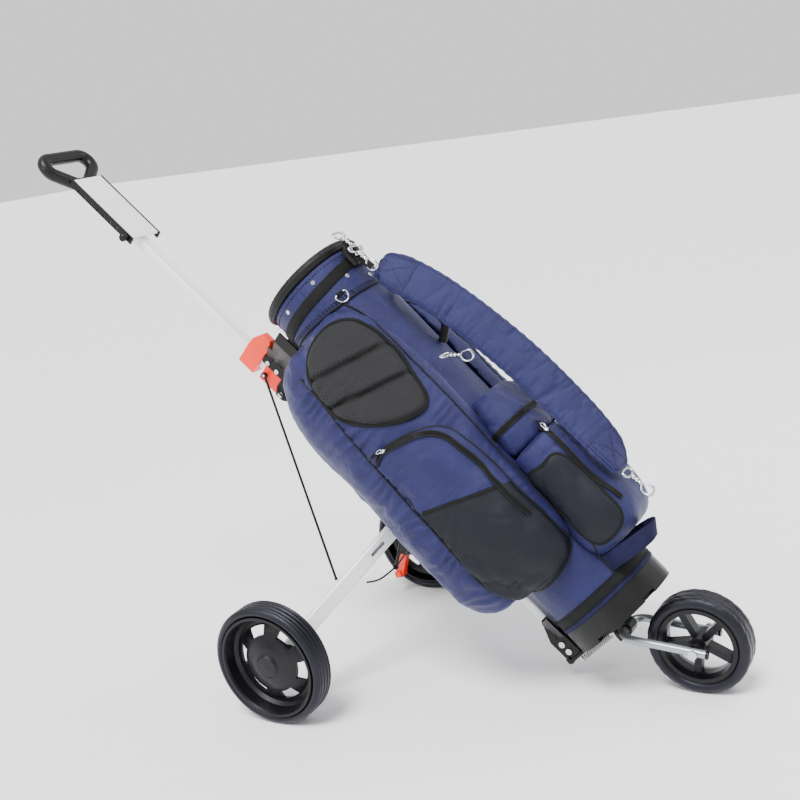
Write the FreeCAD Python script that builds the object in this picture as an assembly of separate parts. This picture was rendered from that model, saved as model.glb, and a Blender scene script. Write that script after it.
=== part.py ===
"""Golf bag strapped to a three-wheeled folding push cart.

Design frame, millimetres: +X forward, +Y to the cart's left, +Z up, ground at Z = 0 and
X = 0 at the main axle.  Two slanted helper frames keep the shapes readable:
  spine frame  x down the spine tube, z from the tube towards the bag
  bag frame    z up the bag from its base, x towards the bag's front pockets
place_all() moves everything so that the origin is the bottom centre of the whole cart.
"""
import FreeCAD, Part
import math
import os

Vector = FreeCAD.Vector
Y_AXIS = Vector(0, 1, 0)

# ---- driving dimensions -------------------------------------------------------------
SPINE_TOP = Vector(-171, 0, 658)      # spine frame origin, on the handle tube's centre line
SPINE_SLOPE = 45.0                    # degrees below the horizontal
TUBE_W, TUBE_H, TUBE_WALL = 28.0, 20.0, 1.6

BAG_LEAN = 41.6                       # degrees from the vertical
BAG_LENGTH = 870.0
BAG_R_TOP, BAG_R_BASE, BAG_SKIN = 104.0, 106.0, 4.0
BAG_BASE_S, BAG_BASE_N = 905.0, 166.0  # base centre in the spine frame
GAP = 0.3                             # air between pieces that only rest on each other

MAIN_R, MAIN_WIDTH, MAIN_Y = 117.5, 49.0, 307.0
AXLE_R, AXLE_END_Y = 8.0, 262.0
FRONT_X, FRONT_R, FRONT_WIDTH = 721.0, 92.0, 56.0
FORK_APEX = Vector(586, 0, 106)
FORK_ARM_Y, FORK_TUBE_R = 45.0, 7.5
FORK_CLEAR = 0.08

GRIP_S, GRIP_N, GRIP_HALF, GRIP_R = -589.0, 10.0, 46.0, 13.5
CONSOLE_S0, CONSOLE_S1, CONSOLE_HALF = -512.0, -326.0, 44.0

FOLD_S, FOLD_N, PIN_R = 127.0, -15.0, 4.0
LEG_S, LEG_N, LEG_Y = 480.0, -24.0, 22.0
LEG_W, LEG_H = 30.0, 18.0
ROD_TOP_S, ROD_TOP_N, ROD_Y, ROD_R = 76.0, -7.0, 26.0, 2.5
ROD_LEG_FRACTION = 0.5
RUN = 0.06                            # radial running clearance


# ---- frames and small helpers -------------------------------------------------------
def spine_point(s, y, n):
    a = math.radians(SPINE_SLOPE)
    return SPINE_TOP + Vector(s * math.cos(a) + n * math.sin(a), y, n * math.cos(a) - s * math.sin(a))


def bag_origin():
    return spine_point(BAG_BASE_S, 0, BAG_BASE_N)


def bag_point(x, y, z):
    return bag_origin() + FreeCAD.Rotation(Y_AXIS, -BAG_LEAN).multVec(Vector(x, y, z))


def moved(shape, base, angle):
    shape = shape.copy()
    shape.Placement = FreeCAD.Placement(base, FreeCAD.Rotation(Y_AXIS, angle)).multiply(shape.Placement)
    return shape


def on_spine(shape):
    return moved(shape, SPINE_TOP, SPINE_SLOPE)


def on_bag(shape):
    return moved(shape, bag_origin(), -BAG_LEAN)


def box(x0, x1, y0, y1, z0, z1):
    return Part.makeBox(x1 - x0, y1 - y0, z1 - z0, Vector(x0, y0, z0))


def rod(p, q, r):
    return Part.makeCylinder(r, (q - p).Length, p, q - p)


def y_rod(x, z, y0, y1, r):
    return Part.makeCylinder(r, y1 - y0, Vector(x, y0, z), Y_AXIS)


def fuse(shapes):
    out = shapes[0]
    for s in shapes[1:]:
        out = out.fuse(s)
    return out.removeSplitter()


def prism(points, direction):
    wire = Part.makePolygon([Vector(*p) for p in points] + [Vector(*points[0])])
    return Part.Face(wire).extrude(direction)


def mirror(shape):
    return shape.mirror(Vector(0, 0, 0), Y_AXIS)


def pair(make):
    """The left and the right copy of a piece that is drawn for the left side."""
    left = make()
    return left, mirror(left)


def arc_path(points, radii):
    """Straight runs joined by tangent arcs, one radius for each inner point."""
    edges = []
    start = points[0]
    for i in range(1, len(points) - 1):
        a = (points[i - 1] - points[i]).normalize()
        b = (points[i + 1] - points[i]).normalize()
        half = a.getAngle(b) / 2
        back = radii[i - 1] / math.tan(half)
        t0 = points[i] + a * back
        t1 = points[i] + b * back
        mid_dir = (a + b).normalize()
        mid = points[i] + mid_dir * (radii[i - 1] / math.sin(half) - radii[i - 1])
        edges.append(Part.LineSegment(start, t0).toShape())
        edges.append(Part.Arc(t0, mid, t1).toShape())
        start = t1
    edges.append(Part.LineSegment(start, points[-1]).toShape())
    return Part.Wire(edges)


def round_tube(points, radii, r):
    path = arc_path(points, radii)
    ring = Part.Wire(Part.makeCircle(r, points[0], points[1] - points[0]))
    return path.makePipeShell([ring], True, False)


def rounded_rect(w, h, r):
    """Wire in the YZ plane, w along Y and h along Z."""
    a, b = w / 2 - r, h / 2 - r
    corners = [(a, b, 0), (-a, b, 90), (-a, -b, 180), (a, -b, 270)]
    edges = []
    for cy, cz, start in corners:
        pts = []
        for turn in (0, 45, 90):
            t = math.radians(start + turn)
            pts.append(Vector(0, cy + r * math.cos(t), cz + r * math.sin(t)))
        if edges:
            edges.append(Part.LineSegment(last, pts[0]).toShape())
        else:
            first = pts[0]
        edges.append(Part.Arc(*pts).toShape())
        last = pts[2]
    edges.append(Part.LineSegment(last, first).toShape())
    return Part.Wire(edges)


def box_tube(length, w=TUBE_W, h=TUBE_H, wall=TUBE_WALL, corner=5.0):
    """Hollow tube along +X from the origin."""
    outer = Part.Face(rounded_rect(w, h, corner)).extrude(Vector(length, 0, 0))
    inner = rounded_rect(w - 2 * wall, h - 2 * wall, corner - wall)
    return outer.cut(Part.Face(inner).extrude(Vector(length, 0, 0)))


def spun(profile, base, axis):
    """Solid of revolution: profile is (distance along the axis, radius) pairs."""
    wire = Part.makePolygon([Vector(a, r, 0) for a, r in profile] + [Vector(profile[0][0], profile[0][1], 0)])
    solid = Part.Face(wire).revolve(Vector(0, 0, 0), Vector(1, 0, 0), 360)
    solid.Placement = FreeCAD.Placement(base, FreeCAD.Rotation(Vector(1, 0, 0), axis))
    return solid


def screw(head_at, direction, head_r, shank_r, length):
    """A button-head screw: head outside the face at head_at, shank running along direction."""
    d = Vector(*direction)
    head = Part.makeCylinder(head_r, head_r * 0.5, head_at - d * head_r * 0.5, d)
    head = head.makeFillet(head_r * 0.3, [head.Edges[0]])
    return head.fuse(Part.makeCylinder(shank_r, length, head_at, d)).removeSplitter()


# ---- frame body ---------------------------------------------------------------------
SPINE_START_S = 139.0
SPINE_JOG_N = 34.0
SPINE_END_S = 893.0


def spine_tube():
    start = SPINE_START_S
    pts = [Vector(start, 0, 0), Vector(560, 0, 0), Vector(690, 0, SPINE_JOG_N), Vector(SPINE_END_S, 0, SPINE_JOG_N)]
    path = arc_path(pts, [150, 150])
    shells = []
    for inset in (0, TUBE_WALL):
        ring = rounded_rect(TUBE_W - 2 * inset, TUBE_H - 2 * inset, 5.0 - inset)
        ring.translate(Vector(start, 0, 0))
        shells.append(path.makePipeShell([ring], True, False))
    tube = shells[0].cut(shells[1])
    for s in (LEG_S - 18, LEG_S + 18):
        tube = tube.cut(y_rod(s, 0, -20, 20, PIN_R - 1))
    tube = tube.cut(y_rod(*CRADLE_SCREWS[2], -20, 20, PIN_R - 1))
    return on_spine(tube)


CRADLE_S0, CRADLE_S1 = 54.0, 158.0
CRADLE_IN, CRADLE_T = 18.6, 4.0
CRADLE_SCREWS = ((67, 19), (93, 19), (148, 3))


def upper_cradle():
    """Pressed channel over the fold with flared wings that the bag lies in."""
    a, b = CRADLE_IN, CRADLE_IN + CRADLE_T
    length = Vector(CRADLE_S1 - CRADLE_S0, 0, 0)
    half = [(a, 12.5), (0, 12.5), (0, 16.5), (a, 16.5), (a, 34), (56, 96), (58, 118), (62, 118), (60, 94),
            (b, 32), (b, 12.5)]
    left = prism([(CRADLE_S0, y, n) for y, n in half], length)
    wing_cut = prism([(CRADLE_S0 - 1, 0, 60), (CRADLE_S0 - 1, 80, 60), (CRADLE_S0 - 1, 80, 125),
                      (CRADLE_S0 - 1, 0, 125)], Vector(14, 0, 0))
    foot_cut = prism([(122, 0, 125), (132, 0, 84), (146, 0, 40), (162, 0, 40), (162, 0, 125)], Vector(0, 80, 0))
    left = left.cut(wing_cut).cut(foot_cut)
    lobe = prism([(110, a, 13), (110, a, -6), (118, a, -24), (136, a, -24), (158, a, -8), (158, a, 13)],
                 Vector(0, CRADLE_T, 0))
    left = left.fuse(lobe)
    for s, n in CRADLE_SCREWS:
        left = left.cut(y_rod(s, n, 0, 30, 3.0))
    left = left.cut(y_rod(FOLD_S, FOLD_N, 0, 30, PIN_R))
    return on_spine(fuse([left, mirror(left)]))


def cradle_screws():
    shapes = []
    for s, n in CRADLE_SCREWS:
        one = screw(Vector(s, CRADLE_IN + CRADLE_T, n), (0, -1, 0), 5.0, 3.0, 3.6)
        shapes += [on_spine(one), mirror(on_spine(one))]
    return Part.makeCompound(shapes)


def fold_pin():
    reach = CRADLE_IN + CRADLE_T
    pin = y_rod(FOLD_S, FOLD_N, -reach, reach, PIN_R)
    for side in (-1, 1):
        y0 = reach if side > 0 else -reach - 2.5
        pin = pin.fuse(y_rod(FOLD_S, FOLD_N, y0, y0 + 2.5, 6.0))
    return on_spine(pin.removeSplitter())


KEEL_HALF_Y, BRACKET_HALF_Y = 12.0, 28.8
KNUCKLE_R, KNUCKLE_Y0, KNUCKLE_Y1 = 15.0, 12.4, 30.0


def leg_bracket():
    """Block clamped round the spine tube; a leg's knuckle turns on each side of its keel."""
    body = box(LEG_S - 34, LEG_S + 30, -BRACKET_HALF_Y, BRACKET_HALF_Y, -14, 14)
    keel = box(LEG_S - 20, LEG_S + 20, -KEEL_HALF_Y, KEEL_HALF_Y, -40, -13)
    body = fuse([body, keel])
    hole = Part.Face(rounded_rect(TUBE_W, TUBE_H, 5.0)).extrude(Vector(80, 0, 0))
    hole.translate(Vector(LEG_S - 40, 0, 0))
    body = body.cut(hole)
    body = body.cut(y_rod(LEG_S, LEG_N, -40, 40, PIN_R))
    for y0 in (KEEL_HALF_Y, -KEEL_HALF_Y - 20):
        body = body.cut(y_rod(LEG_S, LEG_N, y0, y0 + 20, KNUCKLE_R + 0.5))
    for s in (LEG_S - 18, LEG_S + 18):
        body = body.cut(y_rod(s, 0, -40, 40, PIN_R - 1))
    return on_spine(body)


def leg_bracket_bolts():
    shapes = []
    for s in (LEG_S - 18, LEG_S + 18):
        w = BRACKET_HALF_Y
        bolt = y_rod(s, 0, -w, w, PIN_R - 1)
        caps = [y_rod(s, 0, w, w + 3.5, 5.5), y_rod(s, 0, -w - 3.5, -w, 5.5)]
        shapes.append(on_spine(fuse([bolt] + caps)))
    return Part.makeCompound(shapes)


def leg_pin():
    w = KNUCKLE_Y1 + 0.3
    pin = y_rod(LEG_S, LEG_N, -w, w, PIN_R)
    caps = [y_rod(LEG_S, LEG_N, w, w + 3, 6.5), y_rod(LEG_S, LEG_N, -w - 3, -w, 6.5)]
    return on_spine(fuse([pin] + caps))


FOOT_S0 = 808.0
PLATE_T = 6.0
PLATE_X0, PLATE_X1 = -150.0, -14.0


def lower_bracket():
    """Channel on the spine's foot with a hooked cradle and the plate that the base stands on."""
    floor = box(852, 905, -30, 30, 17, 21)
    shapes = [on_spine(floor)]
    for side in (-1, 1):
        wall = box(FOOT_S0, 897, 26, 30, 17, 52)
        nose = prism([(806, 26, 16), (806, 26, 40), (851, 26, 16)], Vector(0, 4, 0))
        wall = wall.cut(nose)
        wing = prism([(812, 30, 40), (812, 60, 76), (812, 64, 74), (812, 30, 34)], Vector(42, 0, 0))
        half = wall.fuse(wing)
        shapes.append(on_spine(half if side > 0 else mirror(half)))
    plate = box(PLATE_X0, PLATE_X1, -34, 34, -GAP - PLATE_T, -GAP)
    lip = box(PLATE_X0, PLATE_X0 + 8, -34, 34, -GAP - PLATE_T, 6)
    shapes.append(on_bag(plate.fuse(lip)))
    saddle = on_spine(box(840, 893, -26, 26, 21, 50))
    body = fuse(shapes + [saddle])
    path_hole = Part.Face(rounded_rect(TUBE_W, TUBE_H, 5.0)).extrude(Vector(70, 0, 0))
    path_hole.translate(Vector(SPINE_END_S - 60, 0, SPINE_JOG_N))
    body = body.cut(on_spine(path_hole))
    base = on_bag(Part.makeCylinder(BAG_R_BASE + 3 + GAP, 80, Vector(0, 0, -GAP)))
    body = body.cut(base)
    for s in FOOT_BOLTS:
        body = body.cut(on_spine(y_rod(s, SPINE_JOG_N, -40, 40, 3.0)))
    return body


FOOT_BOLTS = (866.0, 884.0)


def lower_bracket_bolts():
    shapes = []
    for s in FOOT_BOLTS:
        for side in (-1, 1):
            y0 = 14.0 if side > 0 else -30.0
            shank = y_rod(s, SPINE_JOG_N, y0, y0 + 16, 3.0)
            head = y_rod(s, SPINE_JOG_N, 30 if side > 0 else -33, 33 if side > 0 else -30, 6.0)
            shapes.append(on_spine(fuse([shank, head])))
    return Part.makeCompound(shapes)


def fork_frame_angle():
    drop = FORK_APEX.z - FRONT_R
    return math.degrees(math.atan2(drop, FRONT_X - FORK_APEX.x))


def in_fork(shape):
    return moved(shape, FORK_APEX, fork_frame_angle())


FORK_AXLE_X = math.hypot(FRONT_X - FORK_APEX.x, FORK_APEX.z - FRONT_R)
FORK_ARM_END = FORK_AXLE_X + 21
FORK_BEND_R = 28.0


def fork_hinge():
    """Two cast cheeks that hold the straight middle of the fork to the base plate."""
    block = on_bag(box(-44, -12, -15, 15, -34, -GAP - PLATE_T))
    ring = y_rod(FORK_APEX.x, FORK_APEX.z, -15, 15, 14)
    body = block.fuse(ring)
    body = body.cut(y_rod(FORK_APEX.x, FORK_APEX.z, -20, 20, FORK_TUBE_R + FORK_CLEAR))
    keep = on_bag(box(-60, 20, -20, 20, -60, -GAP - PLATE_T))
    return body.common(keep)


def fork_spring():
    """The envelope of the coil spring that pulls the fork on to its stop."""
    spring = spun([(0, 0), (0, 4.5), (76, 4.5), (76, 0)], Vector(-124, -22, -13.5), Vector(1, 0, 0))
    hook = rod(Vector(-48, -22, -13.5), Vector(-42, -22, -13.5), 1.5)
    return on_bag(spring.fuse(hook))


def spring_posts():
    low = rod(Vector(-128, -22, -GAP - PLATE_T), Vector(-128, -22, -20), 3)
    high = rod(Vector(-39, -22, -GAP - PLATE_T), Vector(-39, -22, -20), 3)
    return Part.makeCompound([on_bag(low), on_bag(high)])


# ---- bag ----------------------------------------------------------------------------
def cone(r0, r1, z0, z1):
    return Part.makeCone(r0, r1, z1 - z0, Vector(0, 0, z0))


def body_r(z):
    return BAG_R_BASE + (BAG_R_TOP - BAG_R_BASE) * z / BAG_LENGTH


def ring(z0, z1, inset, outset):
    """A band round the bag between two heights, from -inset to +outset of the skin."""
    outer = cone(body_r(z0) + outset, body_r(z1) + outset, z0, z1)
    return outer.cut(cone(body_r(z0) - inset, body_r(z1) - inset, z0, z1))


BASE_H = 44.0
RIM_Z = 846.0


def bag_shell():
    return on_bag(ring(BASE_H, RIM_Z, BAG_SKIN, 0))


def base_moulding():
    cup = cone(BAG_R_BASE + 2, BAG_R_BASE + 1, 0, BASE_H)
    cup = cup.cut(cone(BAG_R_BASE - 4, BAG_R_BASE - 5, 5, BASE_H + 1))
    for i in range(6):
        turn = math.radians(60 * i + 30)
        notch = box(-15, 15, -12, 12, -1, 7)
        notch.Placement = FreeCAD.Placement(
            Vector((BAG_R_BASE + 2) * math.cos(turn), (BAG_R_BASE + 2) * math.sin(turn), 0),
            FreeCAD.Rotation(Vector(0, 0, 1), math.degrees(turn) + 90))
        cup = cup.cut(notch)
    return on_bag(cup)


def collar_band():
    """Stitched collar; its lower seam runs a little lower at the front."""
    band = ring(760, RIM_Z - 1, 0, 2.0)
    low = prism([(-130, -130, 740), (130, -130, 740), (130, -130, 766), (-130, -130, 796)], Vector(0, 260, 0))
    return on_bag(band.cut(low))


def bag_rim():
    """Padded tube that binds the mouth."""
    tube = Part.makeTorus(BAG_R_TOP - 2, 12, Vector(0, 0, RIM_Z + 12.1))
    return on_bag(tube)


def dividers():
    """Padded bars across the mouth, which part the clubs."""
    reach = BAG_R_TOP - BAG_SKIN - 1
    bars = [box(-reach, reach, -5, 5, RIM_Z - 40, RIM_Z - 4)]
    for x in (-34, 34):
        bars.append(box(x - 5, x + 5, -reach, reach, RIM_Z - 40, RIM_Z - 4))
    grid = fuse(bars)
    return on_bag(grid.common(Part.makeCylinder(reach, 60, Vector(0, 0, RIM_Z - 50))))


def bag_stays():
    shapes = []
    for turn in (60, 180, 300):
        a = math.radians(turn)
        r = BAG_R_TOP - BAG_SKIN - 4
        p = Vector(r * math.cos(a), r * math.sin(a), BASE_H + 6)
        shapes.append(on_bag(rod(p, p + Vector(0, 0, RIM_Z - 60 - BASE_H), 3)))
    return Part.makeCompound(shapes)


def spline_section(points, z, k, centre):
    pts = [Vector(centre[0] + (x - centre[0]) * k, centre[1] + (y - centre[1]) * k, z) for x, y in points]
    curve = Part.BSplineCurve()
    curve.interpolate(pts, True)
    return Part.Wire(curve.toShape())


def pod(points, stations, centre):
    """A soft pocket: one outline lofted up the bag, smaller at its ends, cut to the bag's skin."""
    wires = [spline_section(points, z, k, centre) for z, k in stations]
    solid = Part.makeLoft(wires, True, False)
    return solid.cut(cone(body_r(60) + 2 + GAP, body_r(840) + 2 + GAP, 60, 840))


SIDE_OUTLINE = ((92, 50), (100, 96), (64, 145), (0, 166), (-62, 170), (-125, 168), (-172, 140), (-186, 100),
                (-168, 62), (-110, 44), (-40, 60), (40, 60))
SIDE_STATIONS = ((150, 0.60), (185, 0.86), (260, 0.98), (420, 1.0), (600, 1.0), (690, 0.90), (740, 0.74),
                 (762, 0.58))


def side_pocket():
    return on_bag(pod(SIDE_OUTLINE, SIDE_STATIONS, (-20.0, 85.0)))


LOWER_FRONT = ((80, 88), (130, 96), (170, 80), (188, 40), (190, 0), (188, -40), (170, -80), (130, -96), (80, -88),
               (60, 0))
LOWER_FRONT_STATIONS = ((106, 0.72), (124, 0.90), (170, 1.0), (270, 1.0), (335, 0.94))
UPPER_FRONT = ((80, 72), (120, 80), (150, 66), (164, 30), (166, 0), (164, -30), (150, -66), (120, -80), (80, -72),
               (60, 0))
UPPER_FRONT_STATIONS = ((338, 0.96), (400, 1.0), (445, 0.84), (462, 0.70))


def front_pod(points, stations):
    """A front pocket, cut back where it meets the side pockets."""
    right = side_skin(1.01)
    body = pod(points, stations, (70.0, 0.0)).cut(right).cut(mirror(right))
    return on_bag(sorted(body.Solids, key=lambda one: one.Volume)[-1])


def lower_front_pocket():
    return front_pod(LOWER_FRONT, LOWER_FRONT_STATIONS)


def upper_front_pocket():
    return front_pod(UPPER_FRONT, UPPER_FRONT_STATIONS)


STRAP_W, STRAP_T = 76.0, 14.0
STRAP_Y = -20.0
# height on the bag, distance from its axis, tilt of the strap's face towards the right side
STRAP_STATIONS = ((800, 128, 50), (750, 154, 56), (645, 190, 57), (481, 216, 55), (332, 223, 42), (235, 220, 26),
                  (186, 206, 14))


def shoulder_strap():
    """Padded shoulder strap that stands off the bag in a long arch."""
    wires = []
    for i, (z, x, tilt) in enumerate(STRAP_STATIONS):
        lo = STRAP_STATIONS[max(i - 1, 0)]
        hi = STRAP_STATIONS[min(i + 1, len(STRAP_STATIONS) - 1)]
        along = Vector(hi[1] - lo[1], 0, hi[0] - lo[0]).normalize()
        wide = Vector(math.sin(math.radians(tilt)), math.cos(math.radians(tilt)), 0)
        thick = along.cross(wide).normalize()
        wide = thick.cross(along).normalize()
        k = 0.8 if i in (0, len(STRAP_STATIONS) - 1) else 1.0
        c = Vector(x, STRAP_Y, z)
        pts = []
        for a, b in ((-1, -1), (1, -1), (1, 1), (-1, 1)):
            pts.append(c + wide * (a * k * STRAP_W / 2) + thick * (b * STRAP_T / 2))
        wires.append(Part.makePolygon(pts + [pts[0]]))
    return on_bag(Part.makeLoft(wires, True, False))


def side_skin(grow):
    """The side pocket before it is trimmed to the bag, as a solid on the right side."""
    centre = (-20.0, 85.0)
    wires = [spline_section(SIDE_OUTLINE, z, k * grow, centre) for z, k in SIDE_STATIONS]
    return mirror(Part.makeLoft(wires, True, False))


def side_patch(outline, grow):
    """A raised patch that follows the right side pocket, seen square on as outline (x, z)."""
    curve = Part.BSplineCurve()
    curve.interpolate([Vector(x, -210, z) for x, z in outline], True)
    slab = Part.Face(Part.Wire(curve.toShape())).extrude(Vector(0, 140, 0))
    patch = side_skin(grow).cut(side_skin(1.0)).common(slab)
    trimmed = patch.cut(cone(body_r(60) + 3, body_r(840) + 3, 60, 840))
    return on_bag(sorted(trimmed.Solids, key=lambda one: one.Volume)[-1])


MESH_PAD_OUTLINE = ((-52, 628), (-46, 690), (-10, 728), (33, 734), (70, 716), (88, 660), (90, 560), (76, 510),
                    (40, 520), (-10, 556), (-40, 590))
ZIP_POCKET_OUTLINE = ((-52, 496), (-20, 506), (30, 494), (70, 468), (86, 400), (86, 245), (66, 160), (20, 137),
                      (-30, 135), (-64, 165), (-62, 300))


def mesh_pad():
    return side_patch(MESH_PAD_OUTLINE, 1.09)


def zip_pocket():
    return side_patch(ZIP_POCKET_OUTLINE, 1.12)


CARRY_Z = (592.0, 730.0)


def carry_handle():
    """Rubber carrying handle on the front of the bag."""
    foot = BAG_R_TOP + 2.4
    low, high = CARRY_Z
    pts = [Vector(foot, 20, low), Vector(foot + 34, 20, low + 18), Vector(foot + 34, 20, high - 18),
           Vector(foot, 20, high)]
    body = round_tube(pts, [16, 16], 8.5)
    return on_bag(body.cut(cone(body_r(60) + 1.5, body_r(840) + 1.5, 60, 840)))


LOOP_Z, LOOP_W, LOOP_T = 88.0, 30.0, 2.4


def bottom_loop():
    """Webbing loop under the front pocket, for lifting the bag."""
    pts = [Vector(BAG_R_BASE + 2, -4, LOOP_Z), Vector(150, -6, LOOP_Z), Vector(192, -38, LOOP_Z),
           Vector(160, -72, LOOP_Z), Vector(86, -66, LOOP_Z)]
    path = arc_path(pts, [24, 14, 24])
    half, thick = Vector(0, 0, LOOP_W / 2), Vector(0, LOOP_T / 2, 0)
    corners = [pts[0] - half - thick, pts[0] + half - thick, pts[0] + half + thick, pts[0] - half + thick]
    body = path.makePipeShell([Part.makePolygon(corners + corners[:1])], True, False)
    return on_bag(body.cut(cone(body_r(40) + 2.3, body_r(130) + 2.3, 40, 130)))


TIE_Z, TIE_W = 806.0, 22.0              # middle of the band, and its width
TIE_RISE = 10.0                         # how far it climbs from the axis to the front


def tie_strap():
    """Webbing that ties the collar down into the upper cradle, a little higher at the front."""
    band = ring(775, 835, -2.3, 4.3)
    reach = 130.0
    low, rise = TIE_Z - TIE_W / 2, TIE_RISE * reach / BAG_R_TOP
    slab = prism([(-reach, -reach, low - rise), (reach, -reach, low + rise), (reach, -reach, low + TIE_W + rise),
                  (-reach, -reach, low + TIE_W - rise)], Vector(0, 2 * reach, 0))
    return on_bag(band.common(slab))


def tie_buckle():
    body = box(BAG_R_TOP + 6.6, BAG_R_TOP + 19, -34, 10, TIE_Z - 6, TIE_Z + TIE_W + 12)
    body = body.makeFillet(3, body.Edges)
    return on_bag(body)


def strap_hook(z, x, y):
    """Snap hook: an eye, a swivel barrel and a hooked end, as one casting."""
    eye = Part.makeTorus(8, 2.2, Vector(x, y, z), Vector(0, 1, 0))
    stem = rod(Vector(x, y, z - 9), Vector(x, y, z - 26), 3.4)
    hook = Part.makeTorus(9, 2.4, Vector(x, y, z - 34), Vector(0, 1, 0))
    return on_bag(fuse([eye, stem, hook]))


HOOK_TOP = (848.0, 137.0, -34.0)
HOOK_LOW = (173.0, 206.0, -20.0)
HOOK_MID = (548.0, 130.0, -46.0)


def d_ring(z, angle, standoff=3.0):
    """A D-ring lying on the skin below a short loop of tape."""
    a = math.radians(angle)
    r = body_r(z) + 2 + standoff
    centre = Vector(r * math.cos(a), r * math.sin(a), z)
    return on_bag(Part.makeTorus(11, 1.6, centre, Vector(math.cos(a), math.sin(a), 0)))


def collar_rivets():
    shapes = []
    for angle, z in ((-100, 828), (-58, 828), (-27, 797), (-3, 777), (100, 828), (58, 828), (27, 797)):
        a = math.radians(angle)
        out = Vector(math.cos(a), math.sin(a), 0)
        r = body_r(z) + 2.0
        one = Part.makeCylinder(4.2, 2.0, out * (r + 0.4) + Vector(0, 0, z), out)
        shapes.append(on_bag(one.makeFillet(1.2, [one.Edges[2]] if len(one.Edges) > 2 else one.Edges)))
    return Part.makeCompound(shapes)


# ---- handle body --------------------------------------------------------------------
HANDLE_TUBE_S0, HANDLE_TUBE_S1 = -500.0, 108.0


def handle_tube():
    tube = box_tube(HANDLE_TUBE_S1 - HANDLE_TUBE_S0)
    tube.translate(Vector(HANDLE_TUBE_S0, 0, 0))
    return on_spine(tube)


def handle_grip():
    """D-shaped loop: straight bar, two arms and the socket that takes the tube."""
    n = GRIP_N
    pts = [Vector(-512, 12, 0), Vector(-553, 62, n * 0.5), Vector(GRIP_S, 66, n), Vector(GRIP_S, -66, n),
           Vector(-553, -62, n * 0.5), Vector(-512, -12, 0)]
    loop = round_tube(pts, [24, 22, 22, 24], GRIP_R)
    socket = box(-524, -490, -19, 19, -14.5, 13)
    socket = socket.makeFillet(4, socket.Edges)
    tube = Part.Face(rounded_rect(TUBE_W, TUBE_H, 5.0)).extrude(Vector(30, 0, 0))
    tube.translate(Vector(HANDLE_TUBE_S0, 0, 0))
    return on_spine(fuse([loop, socket]).cut(tube))


CONSOLE_N = 14.0


def console_plate():
    plate = box(CONSOLE_S0 + 26, CONSOLE_S1, -CONSOLE_HALF + 4, CONSOLE_HALF - 4, CONSOLE_N, CONSOLE_N + 5)
    nose = box(CONSOLE_S0, CONSOLE_S0 + 26, -CONSOLE_HALF + 4, CONSOLE_HALF - 4, CONSOLE_N, CONSOLE_N + 5)
    return on_spine(fuse([plate, nose]))


def console_rails():
    shapes = []
    for side in (-1, 1):
        y0 = CONSOLE_HALF - 4 if side > 0 else -CONSOLE_HALF
        rail = box(CONSOLE_S0, CONSOLE_S1 + 4, y0, y0 + 4, CONSOLE_N - 9, CONSOLE_N + 6)
        for i in range(8):
            rail = rail.cut(y_rod(CONSOLE_S0 + 24 + 20 * i, CONSOLE_N - 4, y0 - 1, y0 + 5, 2.2))
        shapes.append(on_spine(rail))
    return Part.makeCompound(shapes)


def console_feet():
    """Two saddles that carry the console on the handle tube."""
    shapes = []
    for s in (CONSOLE_S0 + 60, CONSOLE_S1 - 40):
        foot = box(s, s + 24, -17, 17, -13, CONSOLE_N)
        tube = Part.Face(rounded_rect(TUBE_W, TUBE_H, 5.0)).extrude(Vector(60, 0, 0))
        tube.translate(Vector(s - 10, 0, 0))
        shapes.append(on_spine(foot.cut(tube)))
    return Part.makeCompound(shapes)


def console_knob():
    knob = spun([(0, 0), (0, 5), (3, 8), (13, 8), (15, 6), (15, 0)],
                Vector(CONSOLE_S1 - 12, -CONSOLE_HALF - 0.0, CONSOLE_N - 2), Vector(0, -1, 0))
    return on_spine(knob)


def fold_casting():
    """Coloured lug on the handle's lower end; it turns on the fold pin between the cradle's cheeks."""
    a = CRADLE_IN - 0.6
    body = box(64, 112, -a, a, -25, 11.5)
    body = body.makeFillet(3, [e for e in body.Edges if abs(e.CenterOfMass.x - 64) < 0.1])
    nose = box(111, 126, -a, a, -4, 9)
    lug = y_rod(FOLD_S, FOLD_N, -a, a, 10.0)
    bridge = box(110, FOLD_S, -a, a, -25, -5)
    body = fuse([body, nose, lug, bridge])
    tube = Part.Face(rounded_rect(TUBE_W, TUBE_H, 5.0)).extrude(Vector(60, 0, 0))
    tube.translate(Vector(HANDLE_TUBE_S1 - 60, 0, 0))
    body = body.cut(tube)
    body = body.cut(y_rod(FOLD_S, FOLD_N, -30, 30, PIN_R + RUN))
    return on_spine(body)


def rod_pins():
    """Short pivots that stand out of the casting and carry the rods."""
    shapes = []
    for side in (-1, 1):
        y0 = CRADLE_IN - 0.6 if side > 0 else -30.0
        shapes.append(on_spine(y_rod(ROD_TOP_S, ROD_TOP_N, y0, y0 + 30.0 - CRADLE_IN + 0.6, 3.0)))
    return Part.makeCompound(shapes)


COLLAR_S0, COLLAR_S1 = 8.0, 50.0


def lock_collar():
    """Sliding lock: a bevelled block round the handle tube."""
    body = prism([(COLLAR_S0, -21, -27), (COLLAR_S1, -21, -27), (COLLAR_S1, -21, 40), (COLLAR_S1 - 10, -21, 50),
                  (COLLAR_S0 + 10, -21, 50), (COLLAR_S0, -21, 34)], Vector(0, 42, 0))
    for side in (-1, 1):
        bevel = prism([(0, 21.1, 20), (0, 21.1, 52), (0, 8, 52)], Vector(60, 0, 0))
        body = body.cut(bevel if side > 0 else mirror(bevel))
    hole = Part.Face(rounded_rect(TUBE_W + 0.4, TUBE_H + 0.4, 5.2)).extrude(Vector(80, 0, 0))
    hole.translate(Vector(-10, 0, 0))
    return on_spine(body.cut(hole))


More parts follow.
